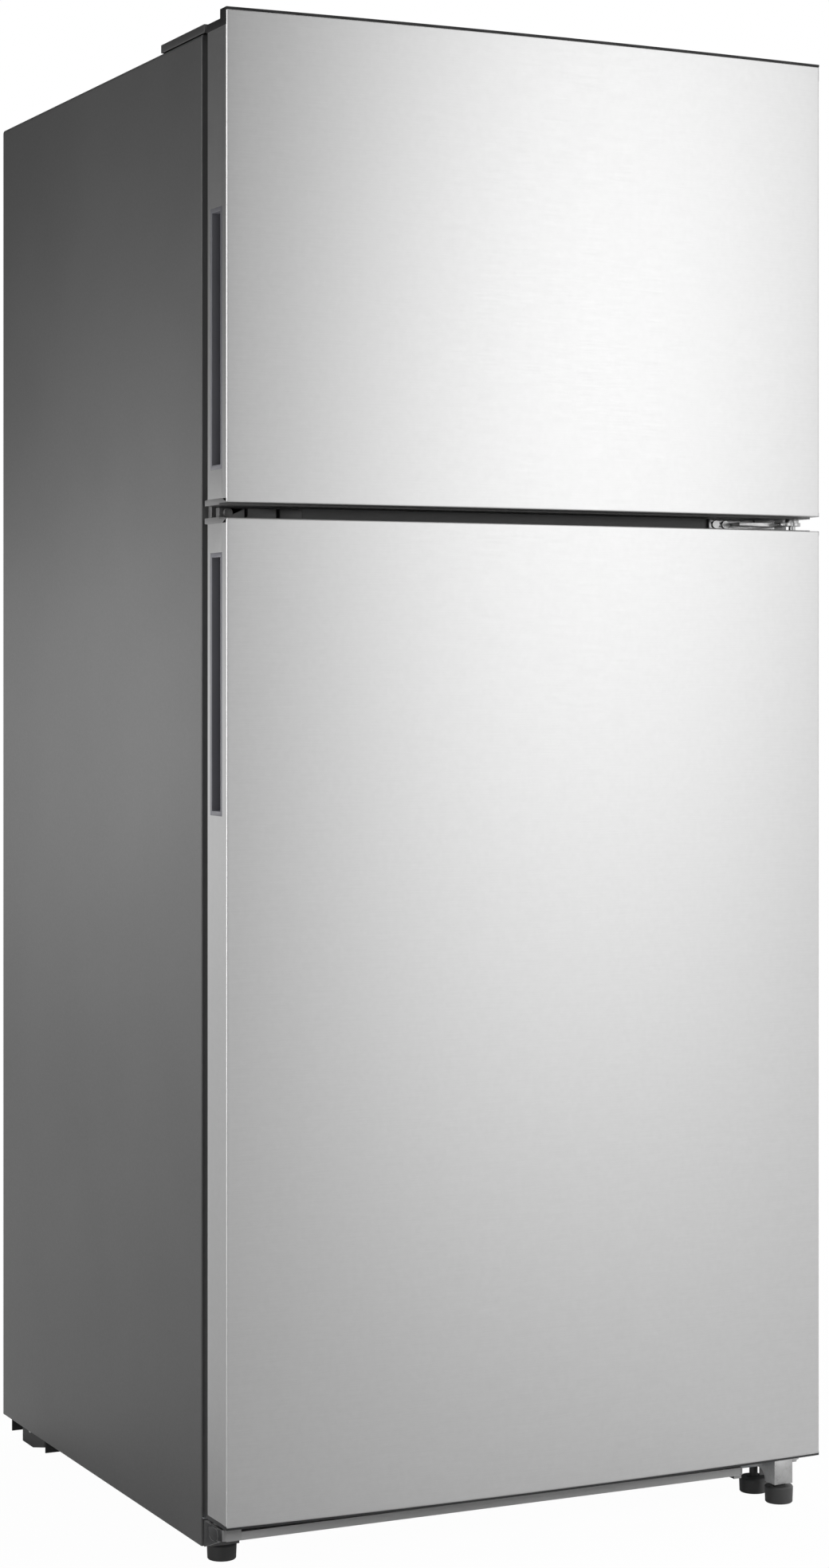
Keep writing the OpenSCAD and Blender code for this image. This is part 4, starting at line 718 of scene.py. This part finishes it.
@dataclass
class SteelDoor:
    """A door: formed steel front, end caps, finger pocket, gasket, inner panel and bins."""

    frame: Frame
    prefix: str
    upper_cap: Finish
    lower_cap: Finish
    curved_ends: tuple[bool, bool]
    sheet_mm: float = 0.8
    hem_mm: float = 1.5
    hem_steps: int = 4
    sweep_mm: float = 11.0
    sweep_steps: int = 8
    corner_mm: float = 2.2
    bow_columns: int = 48
    corner_steps: int = 5
    cap_edge_mm: float = 0.8
    pocket_edge_mm: float = 1.8
    gasket_band_mm: float = 18.0
    ridge_edge_mm: float = 5.0
    ridge_side_mm: float = 60.0
    bin_edge_mm: float = 0.9

    def part(self, suffix: str) -> str:
        """Returns the name of one of the door's solids."""
        return f"{self.prefix}_{suffix}"

    def front_line(self) -> list[tuple[float, float]]:
        """Lays out the bowed front from its left to its right rounded corner, seen from above."""
        low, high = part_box(self.part("skin"))
        half = high.x
        bow = self.bow_depth()
        corner_y = low.y + bow
        radius = (half * half + bow * bow) / (2 * bow)
        centre_y = low.y + radius
        round_r = self.corner_mm * MM
        # the corner's circle touches the straight side and the bow
        touch_x = half - round_r
        round_y = centre_y - math.sqrt((radius - round_r) ** 2 - touch_x**2)
        lean = math.asin(touch_x / (radius - round_r))
        arc = [
            (
                -touch_x - round_r * math.cos(turn),
                round_y - round_r * math.sin(turn),
            )
            for turn in (
                (math.pi / 2 - lean) * step / self.corner_steps for step in range(self.corner_steps + 1)
            )
        ]
        edge_x = touch_x + round_r * math.sin(lean)
        bowed = []
        for column in range(1, self.bow_columns):
            x = -edge_x + 2 * edge_x * column / self.bow_columns
            bowed.append((x, centre_y - math.sqrt(radius**2 - x * x)))
        log.info("%s: front edge at y %.4f", self.prefix, corner_y)
        return arc + bowed + [(-x, y) for x, y in reversed(arc)]

    def bow_depth(self) -> float:
        """Works out how far the front bows out, from the steel's own corner points."""
        skin = self.frame.solids[self.part("skin")]
        low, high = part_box(self.part("skin"))
        side = [v.co.y for v in skin.data.vertices if abs(v.co.x - high.x) < 0.01 * MM]
        return min(side) - low.y

    def hem(self, edge: float, into: float) -> list[tuple[float, float]]:
        """Lays out the rolled free edge of the front.

        Args:
            edge: Height of the edge.
            into: 1 if the sheet lies above the edge, -1 if it lies below.

        Returns:
            Heights and insets from the edge to the flat of the front.
        """
        radius = self.hem_mm * MM
        turns = [math.pi / 2 * (1 - step / self.hem_steps) for step in range(self.hem_steps + 1)]
        return [
            (edge + into * radius * (1 - math.sin(turn)), radius * (1 - math.cos(turn)))
            for turn in turns
        ]

    def side_end(self, y: float, front_y: float, side_z: float, front_z: float, curved: bool) -> float:
        """Gives the height at which a side's free edge ends.

        Args:
            y: Place along the side.
            front_y: Where the side meets the front's corner.
            side_z: Height of the side's edge.
            front_z: Height at which the front begins.
            curved: Whether the edge runs into the front's edge in a curve.

        Returns:
            The height.
        """
        if not curved:
            return side_z
        share = max(0.0, 1 - (y - front_y) / (self.sweep_mm * MM))
        share = share * share * (3 - 2 * share)
        return side_z + (front_z - side_z) * share

    def sheet(self) -> bpy.types.Object:
        """Makes the formed steel front: rounded corners, rolled edges, opening for the pocket."""
        low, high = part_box(self.part("skin"))
        side_low, side_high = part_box(self.part("panel"))
        pocket_low, pocket_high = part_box(self.part("handle"))
        front = self.front_line()
        start_y = front[0][1]
        sweep = [
            start_y + self.sweep_mm * MM * (1 - step / self.sweep_steps)
            for step in range(self.sweep_steps)
        ]
        left_places = sorted({high.y, pocket_high.y, pocket_low.y, *sweep}, reverse=True)
        left_side = [(-high.x, y) for y in left_places]
        right_side = [(high.x, y) for y in (*reversed(sweep), high.y)]
        line = left_side + front + right_side
        first, last = len(left_side), len(left_side) + len(front) - 1
        pocket_columns = range(left_places.index(pocket_high.y), left_places.index(pocket_low.y))
        bottom, top = self.hem(low.z, 1), self.hem(high.z, -1)[::-1]
        walls = [(z, 0.0) for z in (side_low.z, pocket_low.z, pocket_high.z, side_high.z)]
        levels = bottom + walls + top
        wall_rows = range(len(bottom), len(bottom) + len(walls))
        points = []
        for row, (z, inset) in enumerate(levels):
            for column, (x, y) in enumerate(line):
                on_side = not first <= column <= last
                if on_side and row == wall_rows[0] - 1:
                    z_here = self.side_end(y, start_y, side_low.z, z, self.curved_ends[0])
                elif on_side and row == wall_rows[-1] + 1:
                    z_here = self.side_end(y, start_y, side_high.z, z, self.curved_ends[1])
                else:
                    z_here = z
                if inset and not on_side:
                    before, after = line[column - 1], line[column + 1]
                    along = Vector((after[0] - before[0], after[1] - before[1])).normalized()
                    points.append((x - along.y * inset, y + along.x * inset, z_here))
                else:
                    points.append((x, y, z_here))
        columns = len(line)
        faces = []
        for row in range(len(levels) - 1):
            in_walls = wall_rows[0] <= row < wall_rows[-1]
            next_to_walls = row in (wall_rows[0] - 1, wall_rows[-1])
            for column in range(columns - 1):
                if not first <= column < last and not (in_walls or next_to_walls):
                    continue
                if row == wall_rows[1] and column in pocket_columns:
                    continue
                at = row * columns + column
                faces.append((at, at + 1, at + columns + 1, at + columns))
        mesh = mesh_from(self.part("formed_sheet"), points, faces)
        weld(mesh)
        piece = place_piece(
            self.part("formed_sheet"),
            mesh,
            self.prefix,
            STEEL_FRONT,
            [self.part("skin")],
        )
        face_away(mesh, lambda face: -face.calc_center_median().y, Vector((0, -1, 0)))
        thicken(piece, self.sheet_mm)
        return piece

    def gasket(self) -> bpy.types.Object:
        """Makes the extruded gasket: a dart in the panel, a bellows and a soft magnet face."""
        low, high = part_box(self.part("gasket"))
        depth = high.y - low.y
        band = self.gasket_band_mm * MM
        # profile across the band, as shares of its width, and through the gap's depth
        profile = [
            (0.00, 0.00), (0.00, 0.16), (0.14, 0.24), (0.20, 0.34), (0.12, 0.46), (0.20, 0.58),
            (0.10, 0.68), (0.03, 0.76), (0.03, 0.93), (0.07, 0.985), (0.13, 1.00), (0.30, 1.00),
            (0.34, 0.975), (0.66, 0.975), (0.70, 1.00), (0.87, 1.00), (0.93, 0.985), (0.97, 0.93),
            (0.97, 0.76), (0.90, 0.68), (0.80, 0.58), (0.88, 0.46), (0.80, 0.34), (0.86, 0.24),
            (1.00, 0.16), (1.00, 0.00),
        ]
        points, faces = [], []
        for along_x, along_z in ((-1, -1), (1, -1), (1, 1), (-1, 1)):
            for across, deep in profile:
                inset = across * band
                x = high.x - inset if along_x > 0 else low.x + inset
                z = high.z - inset if along_z > 0 else low.z + inset
                points.append((x, low.y + deep * depth, z))
        count = len(profile)
        for corner in range(4):
            following = (corner + 1) % 4
            for step in range(count):
                nxt = (step + 1) % count
                faces.append(
                    (
                        corner * count + step,
                        corner * count + nxt,
                        following * count + nxt,
                        following * count + step,
                    )
                )
        name = self.part("bellows_gasket")
        mesh = mesh_from(name, points, faces)
        return place_piece(
            name, mesh, self.prefix, VINYL, [self.part("gasket")]
        )

    def panel(self) -> bpy.types.Object:
        """Rounds the crest of the inner panel's ridge, as a formed sheet has it."""
        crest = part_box(self.part("panel"))[1].y - 0.5 * MM

        def on_crest(edge: bmesh.types.BMEdge) -> bool:
            ends = edge.verts
            return (
                sharp_outer_edge(edge)
                and all(end.co.y > crest for end in ends)
                and edge.calc_length() > self.ridge_side_mm * MM
            )

        return self.frame.round_off(self.part("panel"), LINER, self.ridge_edge_mm, on_crest)

    def caps(self) -> None:
        """Makes the two end caps, each in its own plastic."""
        low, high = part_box(self.part("caps"))
        middle = (low.z + high.z) / 2
        solid = self.part("caps")
        self.frame.round_off(
            solid, self.upper_cap, self.cap_edge_mm, kept=lambda at: at.z > middle, suffix="upper"
        )
        self.frame.round_off(
            solid, self.lower_cap, self.cap_edge_mm, kept=lambda at: at.z < middle, suffix="lower"
        )

    def build(self) -> None:
        """Makes and dresses the whole door."""
        self.sheet()
        self.gasket()
        self.panel()
        self.caps()
        self.frame.round_off(self.part("handle"), POCKET_ABS, self.pocket_edge_mm)
        self.frame.round_off(self.part("bins"), CLEAR_BIN, self.bin_edge_mm)
        self.frame.dress(FOAM, self.part("foam"))


# ------------------------------------------------------------------------------ cabinet


@dataclass
class Cabinet:
    """The shell, its insulation and liners, and the trim at the front."""

    frame: Frame
    sheet_mm: float = 0.8
    top_bend_mm: float = 5.0
    fold_mm: float = 1.5
    joggle_in_mm: float = 8.0
    joggle_back_mm: float = 6.5
    side_return_mm: float = 42.0
    top_return_mm: float = 57.0
    bend_steps: int = 6
    end_cap_edge_mm: float = 0.6
    cover_edge_mm: float = 0.7
    mullion_edge_mm: float = 0.8
    # rail end cap faces whose normal X is below this get the darker plastic, as painted shade
    painted_shade_normal_x: float = -0.7

    def shell(self) -> bpy.types.Object:
        """Folds the enamelled wrap: two sides and the roof, with joggled returns at the front."""
        low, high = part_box("outer_cabinet")
        fold, bend = self.fold_mm * MM, self.top_bend_mm * MM
        quarter = [math.pi / 2 * step / self.bend_steps for step in range(self.bend_steps + 1)]
        # insets from the side and from the roof, and the place in depth, from the mouth backwards
        inset, back = self.joggle_in_mm * MM, self.joggle_back_mm * MM
        profile = [
            (self.side_return_mm * MM, self.top_return_mm * MM, low.y),
            (inset + fold, inset + fold, low.y),
            (inset, inset, low.y + fold),
            (inset, inset, low.y + back),
        ]
        profile += [
            (
                fold * (1 - math.sin(turn)),
                fold * (1 - math.sin(turn)),
                low.y + back + fold * (1 - math.cos(turn)),
            )
            for turn in quarter
        ]
        profile.append((0.0, 0.0, high.y))
        points = []
        for inset_x, inset_z, y in profile:
            loop = [(high.x - inset_x, low.z)]
            if inset_x >= bend:
                loop += [(high.x - inset_x, high.z - inset_z)] * len(quarter)
            else:
                middle_x, middle_z = high.x - bend, high.z - bend
                radius = bend - inset_x
                loop += [
                    (middle_x + radius * math.cos(turn), middle_z + radius * math.sin(turn))
                    for turn in quarter
                ]
            loop += [(-x, z) for x, z in reversed(loop)]
            points += [(x, y, z) for x, z in loop]
        count = 2 * (len(quarter) + 1)
        faces = [
            (row * count + at, row * count + at + 1, (row + 1) * count + at + 1, (row + 1) * count + at)
            for row in range(len(profile) - 1)
            for at in range(count - 1)
        ]
        mesh = mesh_from("folded_wrap", points, faces)
        weld(mesh)
        piece = place_piece(
            "folded_wrap", mesh, "cabinet", CABINET_ENAMEL,
            ["outer_cabinet"],
        )
        face_away(mesh, lambda face: face.calc_center_median().z, Vector((0, 0, 1)))
        thicken(piece, self.sheet_mm)
        return piece

    def insulation(self) -> bpy.types.Object:
        """Cuts the foam's front corners back to clear the joggle in the sheet's returns."""
        low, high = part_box("foam_insulation")
        back = (self.joggle_in_mm + self.joggle_back_mm + self.sheet_mm) * MM
        corners = (
            (Vector((low.x + back, low.y, 0)), Vector((-1, -1, 0))),
            (Vector((high.x - back, low.y, 0)), Vector((1, -1, 0))),
            (Vector((0, low.y, high.z - back)), Vector((0, -1, 1))),
        )
        shape = bmesh.new()
        shape.from_mesh(self.frame.solids["foam_insulation"].data)
        bmesh.ops.remove_doubles(shape, verts=shape.verts, dist=0.002 * MM)
        for place, normal in corners:
            cut = bmesh.ops.bisect_plane(
                shape,
                geom=[*shape.verts, *shape.edges, *shape.faces],
                plane_co=place,
                plane_no=normal.normalized(),
                clear_outer=True,
            )["geom_cut"]
            rim = [part for part in cut if isinstance(part, bmesh.types.BMEdge)]
            bmesh.ops.holes_fill(shape, edges=rim, sides=0)
        bmesh.ops.recalc_face_normals(shape, faces=shape.faces)
        mesh = bpy.data.meshes.new("foam_insulation_blown")
        shape.to_mesh(mesh)
        shape.free()
        return place_piece(
            "foam_insulation_blown", mesh, "cabinet", FOAM,
            ["foam_insulation"],
        )

    def build(self) -> None:
        """Dresses the cabinet's solids and rounds its mouldings."""
        frame = self.frame
        self.shell()
        self.insulation()
        frame.dress(MULLION_ENAMEL, "center_mullion")
        frame.dress(GALVANISED, "rear_panel", "bottom_deck")
        frame.dress(LINER, "freezer_liner", "fridge_liner")
        frame.dress(RAIL_ENAMEL, "front_rail")
        end_cap = frame.round_off("rail_end_cap", BRACKET_ABS, self.end_cap_edge_mm)
        # the faces that look left, the cheek, get the darker charcoal plastic while the sleeve keeps its
        # light grey: painted shade on the side turned away from the light
        end_cap.data.materials.append(CAP_ABS.material())
        for face in end_cap.data.polygons:
            face.material_index = int(face.normal.x < self.painted_shade_normal_x)
        frame.round_off("top_covers", COVER_ABS, self.cover_edge_mm)
        frame.round_off("mullion_covers", GREY_ABS, self.mullion_edge_mm)


@dataclass
class Hinges:
    """The three plated hinges and their screws."""

    frame: Frame
    edge_mm: float = 0.35

    def build(self) -> None:
        """Gives the pressed plates a broken edge and the plate's finish."""
        for solid in ("top_hinge", "center_hinge", "lower_hinge"):
            self.frame.round_off(solid, ZINC, self.edge_mm)
        self.frame.dress(ZINC, "hinge_screws", "roller_axles")


@dataclass
class Supports:
    """The levelling feet and the rear rollers."""

    frame: Frame

    def build(self) -> None:
        """Dresses the moulded feet and rollers."""
        self.frame.dress(FOOT_NYLON, "left_foot", "right_foot", "hinge_foot")
        self.frame.dress(ROLLER_NYLON, "left_roller", "right_roller")


@dataclass
class FreezerCompartment:
    """The evaporator with its cover and fan, and the wire shelf."""

    frame: Frame
    cover_edge_mm: float = 0.8

    def build(self) -> None:
        """Dresses the freezer's fittings."""
        frame = self.frame
        frame.dress(FIN_ALUMINIUM, "evaporator_coil")
        frame.round_off("evaporator_cover", WHITE_ABS, self.cover_edge_mm)
        frame.dress(GREY_ABS, "evaporator_fan_motor")
        frame.dress(WHITE_ABS, "evaporator_fan")
        frame.dress(WHITE_WIRE_COAT, "freezer_shelf")


@dataclass
class FreshCompartment:
    """Shelves, drawers and controls of the fresh food compartment."""

    frame: Frame
    edge_mm: float = 1.0
    control_edge_mm: float = 0.6

    def build(self) -> None:
        """Dresses and rounds the compartment's fittings."""
        frame = self.frame
        frame.dress(GLASS, "shelf_glass")
        for solid in ("shelf_frames", "crisper_cover", "control_housing", "air_duct"):
            frame.round_off(solid, WHITE_ABS, self.edge_mm)
        for solid in ("left_crisper", "right_crisper", "dairy_lid"):
            frame.round_off(solid, CLEAR_BIN, self.edge_mm)
        for solid in ("humidity_slider", "freezer_knob", "fridge_knob"):
            frame.round_off(solid, KNOB_ABS, self.control_edge_mm)
        frame.dress(WHITE_ABS, "light_switch")


@dataclass
class MachineBay:
    """Compressor, condenser, fan and pan behind the cover at the lower back."""

    frame: Frame
    pan_edge_mm: float = 0.8
    cover_edge_mm: float = 0.4

    def build(self) -> None:
        """Dresses the machine bay."""
        frame = self.frame
        frame.dress(BLACK_ENAMEL, "compressor")
        frame.dress(BLACK_COATED, "base_pan", "condenser_coil")
        frame.dress(GROMMET_RUBBER, "compressor_grommets")
        frame.dress(FAN_PLASTIC, "condenser_fan_motor", "condenser_fan")
        frame.round_off("drain_pan", WHITE_ABS, self.pan_edge_mm)
        frame.round_off("rear_access_cover", FAN_PLASTIC, self.cover_edge_mm)


# ------------------------------------------------------------------------------ studio


class Sees(Enum):
    """The kinds of ray that see the white background."""

    CAMERA = "Is Camera Ray"
    GLOSSY = "Is Glossy Ray"
    TRANSMISSION = "Is Transmission Ray"


@dataclass(frozen=True)
class Softbox:
    """A soft rectangular lamp, aimed at a point of the refrigerator."""

    name: str
    place: Point
    aim: Point
    width: float
    height: float
    power: float

    def build(self) -> None:
        """Adds the lamp."""
        lamp = bpy.data.lights.new(self.name, "AREA")
        lamp.shape = "RECTANGLE"
        lamp.size, lamp.size_y = self.width, self.height
        lamp.energy = self.power
        stand = bpy.data.objects.new(self.name, lamp)
        stand.location = self.place
        facing = Vector(self.aim) - Vector(self.place)
        stand.rotation_euler = facing.to_track_quat("-Z", "Y").to_euler()
        stand.visible_glossy = False  # reflections come from the cards
        bpy.context.scene.collection.objects.link(stand)


@dataclass(frozen=True)
class ReflectorCard:
    """A studio card that shows only in reflections, with a soft gradient across its face.

    Each profile is a smooth curve through pairs of a place from 0 to 1 and a share of the
    card's brightness. Its width runs along the card's own X and its height along its Y.
    """

    name: str
    centre: Point
    tilt_degrees: Point
    width: float
    height: float
    brightness: float
    across: tuple[tuple[float, float], ...]
    upwards: tuple[tuple[float, float], ...]

    def profile(
        self, tree: bpy.types.NodeTree, place: bpy.types.NodeSocket, pairs: Sequence[tuple[float, float]]
    ) -> bpy.types.NodeSocket:
        """Draws a smooth curve through the pairs.

        Args:
            tree: The card's node tree.
            place: Place along the card, from 0 to 1.
            pairs: The curve's points.

        Returns:
            The curve's value socket.
        """
        curve = add_node(tree, "ShaderNodeFloatCurve", {"Value": place})
        points = curve.mapping.curves[0].points
        points[0].location, points[1].location = pairs[0], pairs[-1]
        for pair in pairs[1:-1]:
            points.new(*pair)
        curve.mapping.update()
        return curve.outputs["Value"]

    def build(self) -> None:
        """Adds the card."""
        x, y = self.width / 2, self.height / 2
        mesh = mesh_from(self.name, [(-x, -y, 0), (x, -y, 0), (x, y, 0), (-x, y, 0)], [(0, 1, 2, 3)])
        card = bpy.data.objects.new(self.name, mesh)
        card.location = self.centre
        card.rotation_euler = tuple(math.radians(angle) for angle in self.tilt_degrees)
        bpy.context.scene.collection.objects.link(card)
        glow = bpy.data.materials.new(self.name)
        glow.use_nodes = True
        tree = glow.node_tree
        tree.nodes.clear()
        place = add_node(tree, "ShaderNodeTexCoord")
        axes = add_node(tree, "ShaderNodeSeparateXYZ", {"Vector": place.outputs["Generated"]})
        wide = self.profile(tree, axes.outputs["X"], self.across)
        tall = self.profile(tree, axes.outputs["Y"], self.upwards)
        share = add_node(tree, "ShaderNodeMath", {0: wide, 1: tall}, operation="MULTIPLY")
        strength = add_node(
            tree, "ShaderNodeMath", {0: share.outputs[0], 1: self.brightness}, operation="MULTIPLY"
        )
        light = add_node(tree, "ShaderNodeEmission", {"Strength": strength.outputs[0]})
        add_node(tree, "ShaderNodeOutputMaterial", {"Surface": light.outputs[0]})
        mesh.materials.append(glow)
        card.visible_camera = False
        card.visible_diffuse = False
        card.visible_shadow = False


@dataclass(frozen=True)
class Studio:
    """White floor and background, soft light, and the camera at the front left."""

    eye: Point = (-1.6608, -3.4926, 0.9759)
    turn_degrees: float = 25.79
    lens_mm: float = 72.23
    shift: float = -0.0718
    ambient: float = 0.15
    paper_half: float = 14.0
    paper_near: float = 1.6
    paper_far: float = 4.5
    paper_glow: float = 0.2
    paper_white: float = 0.78

    def camera(self) -> None:
        """Creates the camera, level and turned to the right."""
        data = bpy.data.cameras.new("camera")
        data.lens = self.lens_mm
        data.sensor_width = 36.0
        data.shift_y = self.shift
        camera = bpy.data.objects.new("camera", data)
        camera.location = self.eye
        camera.rotation_euler = (math.pi / 2, 0.0, -math.radians(self.turn_degrees))
        bpy.context.scene.collection.objects.link(camera)
        bpy.context.scene.camera = camera

    def seen_directly(self, tree: bpy.types.NodeTree) -> bpy.types.NodeSocket:
        """Gives one for the rays that see the white background and nought for the others."""
        path = add_node(tree, "ShaderNodeLightPath")
        total = path.outputs[Sees.CAMERA.value]
        for kind in (Sees.GLOSSY, Sees.TRANSMISSION):
            total = add_node(
                tree,
                "ShaderNodeMath",
                {0: total, 1: path.outputs[kind.value]},
                operation="MAXIMUM",
            ).outputs["Value"]
        return total

    def world(self) -> None:
        """Makes the white background and the plain ambient light."""
        world = bpy.data.worlds.new("studio")
        world.use_nodes = True
        tree = world.node_tree
        tree.nodes.clear()
        soft = add_node(
            tree, "ShaderNodeBackground", {"Color": linear("#ffffff"), "Strength": self.ambient}
        )
        white = add_node(tree, "ShaderNodeBackground", {"Color": linear("#ffffff"), "Strength": 1.0})
        either = add_node(
            tree,
            "ShaderNodeMixShader",
            {0: self.seen_directly(tree), 1: soft.outputs[0], 2: white.outputs[0]},
        )
        add_node(tree, "ShaderNodeOutputWorld", {"Surface": either.outputs[0]})
        bpy.context.scene.world = world

    def floor(self) -> None:
        """Lays a pale floor that fades into the background and keeps the contact shadow."""
        half = self.paper_half
        mesh = mesh_from(
            "floor", [(-half, -half, 0), (half, -half, 0), (half, half, 0), (-half, half, 0)], [(0, 1, 2, 3)]
        )
        floor = bpy.data.objects.new("floor", mesh)
        bpy.context.scene.collection.objects.link(floor)
        paper = bpy.data.materials.new("white_paper_floor")
        paper.use_nodes = True
        tree = paper.node_tree
        tree.nodes.clear()
        speck = grain(tree, 2.0)
        matt = add_node(
            tree,
            "ShaderNodeBsdfDiffuse",
            {"Color": tint(tree, speck, linear("#d4d4d4"), linear("#d8d8d8"))},
        )
        glow = add_node(tree, "ShaderNodeEmission", {"Color": linear("#ffffff"), "Strength": 1.0})
        place = add_node(tree, "ShaderNodeTexCoord")
        reach = add_node(tree, "ShaderNodeVectorMath", {0: place.outputs["Object"]}, operation="LENGTH")
        fade = add_node(
            tree,
            "ShaderNodeMapRange",
            {
                "Value": reach.outputs["Value"],
                "From Min": self.paper_near,
                "From Max": self.paper_far,
                "To Min": self.paper_glow,
                "To Max": 1.0,
            },
            interpolation_type="SMOOTHSTEP",
        )
        share = add_node(
            tree,
            "ShaderNodeMath",
            {0: self.seen_directly(tree), 1: fade.outputs["Result"]},
            operation="MULTIPLY",
        )
        path = add_node(tree, "ShaderNodeLightPath")
        share = add_node(
            tree,
            "ShaderNodeMath",
            {0: path.outputs[Sees.CAMERA.value], 1: self.paper_white, 2: share.outputs["Value"]},
            operation="MULTIPLY_ADD",
            use_clamp=True,
        )
        both = add_node(
            tree,
            "ShaderNodeMixShader",
            {0: share.outputs["Value"], 1: matt.outputs[0], 2: glow.outputs[0]},
        )
        add_node(tree, "ShaderNodeOutputMaterial", {"Surface": both.outputs[0]})
        mesh.materials.append(paper)

    def build(self) -> None:
        """Sets up the whole studio."""
        bpy.context.scene.view_settings.view_transform = "Standard"
        self.camera()
        self.world()
        self.floor()
        for lamp in LAMPS:
            lamp.build()
        for card in CARDS:
            card.build()
        log.info("studio is set")


LAMPS = (
    Softbox("front_softbox", (2.6, -3.4, 2.3), (0.1, -0.3, 1.0), 1.8, 2.2, 110.0),
    Softbox("left_softbox", (-1.05, -0.2, 1.05), (-0.4, -0.1, 1.02), 0.3, 0.3, 3.2),
    Softbox("right_softbox", (3.0, 0.6, 1.6), (0.3, 0.3, 0.9), 1.4, 1.8, 60.0),
    Softbox("rear_softbox", (0.9, 3.2, 1.8), (0.0, 0.5, 0.9), 1.8, 1.8, 90.0),
)
CARDS = (
    ReflectorCard(
        "front_card", (2.375, -3.4, 2.0), (90.0, 14.0, 0.0), 6.25, 7.0, 2.25,
        ((0.0, 0.06), (0.12, 0.08), (0.2, 0.24), (0.27, 0.57), (0.34, 0.84), (0.41, 1.0),
         (0.48, 0.99), (0.54, 0.91), (0.61, 0.73), (0.68, 0.47), (1.0, 0.2)),
        ((0.0, 0.4), (0.06, 0.45), (0.13, 0.52), (0.2, 0.57), (0.275, 0.75), (0.35, 0.92), (0.42, 1.0),
         (0.5, 0.95), (0.57, 0.87), (0.8, 0.4), (1.0, 0.2)),
    ),
    ReflectorCard(
        "side_card", (-2.4, 2.6, 3.0), (90.0, 0.0, 0.0), 8.0, 6.0, 1.3,
        ((0.0, 0.9), (0.5, 1.0), (1.0, 0.9)),
        ((0.0, 0.4), (0.04, 0.5), (0.08, 0.6), (0.13, 0.72), (0.17, 0.7), (0.22, 0.33), (0.3, 0.14),
         (0.36, 0.08), (0.5, 0.05), (1.0, 0.03)),
    ),
    ReflectorCard(
        "corner_card", (-3.0, -1.4, 1.3), (90.0, 0.0, 90.0), 0.9, 3.0, 5.0,
        ((0.0, 1.0), (1.0, 1.0)),
        ((0.0, 0.6), (0.5, 1.0), (1.0, 0.7)),
    ),
)


# ------------------------------------------------------------------------------ assembly


def main() -> None:
    """Builds the dressed refrigerator and its studio."""
    logging.basicConfig(level=logging.INFO, format="%(name)s: %(message)s")
    for leftover in list(bpy.data.objects):
        bpy.data.objects.remove(leftover)
    frame = Frame.load()
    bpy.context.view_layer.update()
    Studio().build()
    SteelDoor(frame, "freezer_door", TOP_CAP_ABS, GREY_ABS, curved_ends=(True, False)).build()
    SteelDoor(frame, "fridge_door", GREY_ABS, CAP_ABS, curved_ends=(True, True)).build()
    for group in (Cabinet, Hinges, Supports, FreezerCompartment, FreshCompartment, MachineBay):
        group(frame).build()


if __name__ == "__main__":
    main()
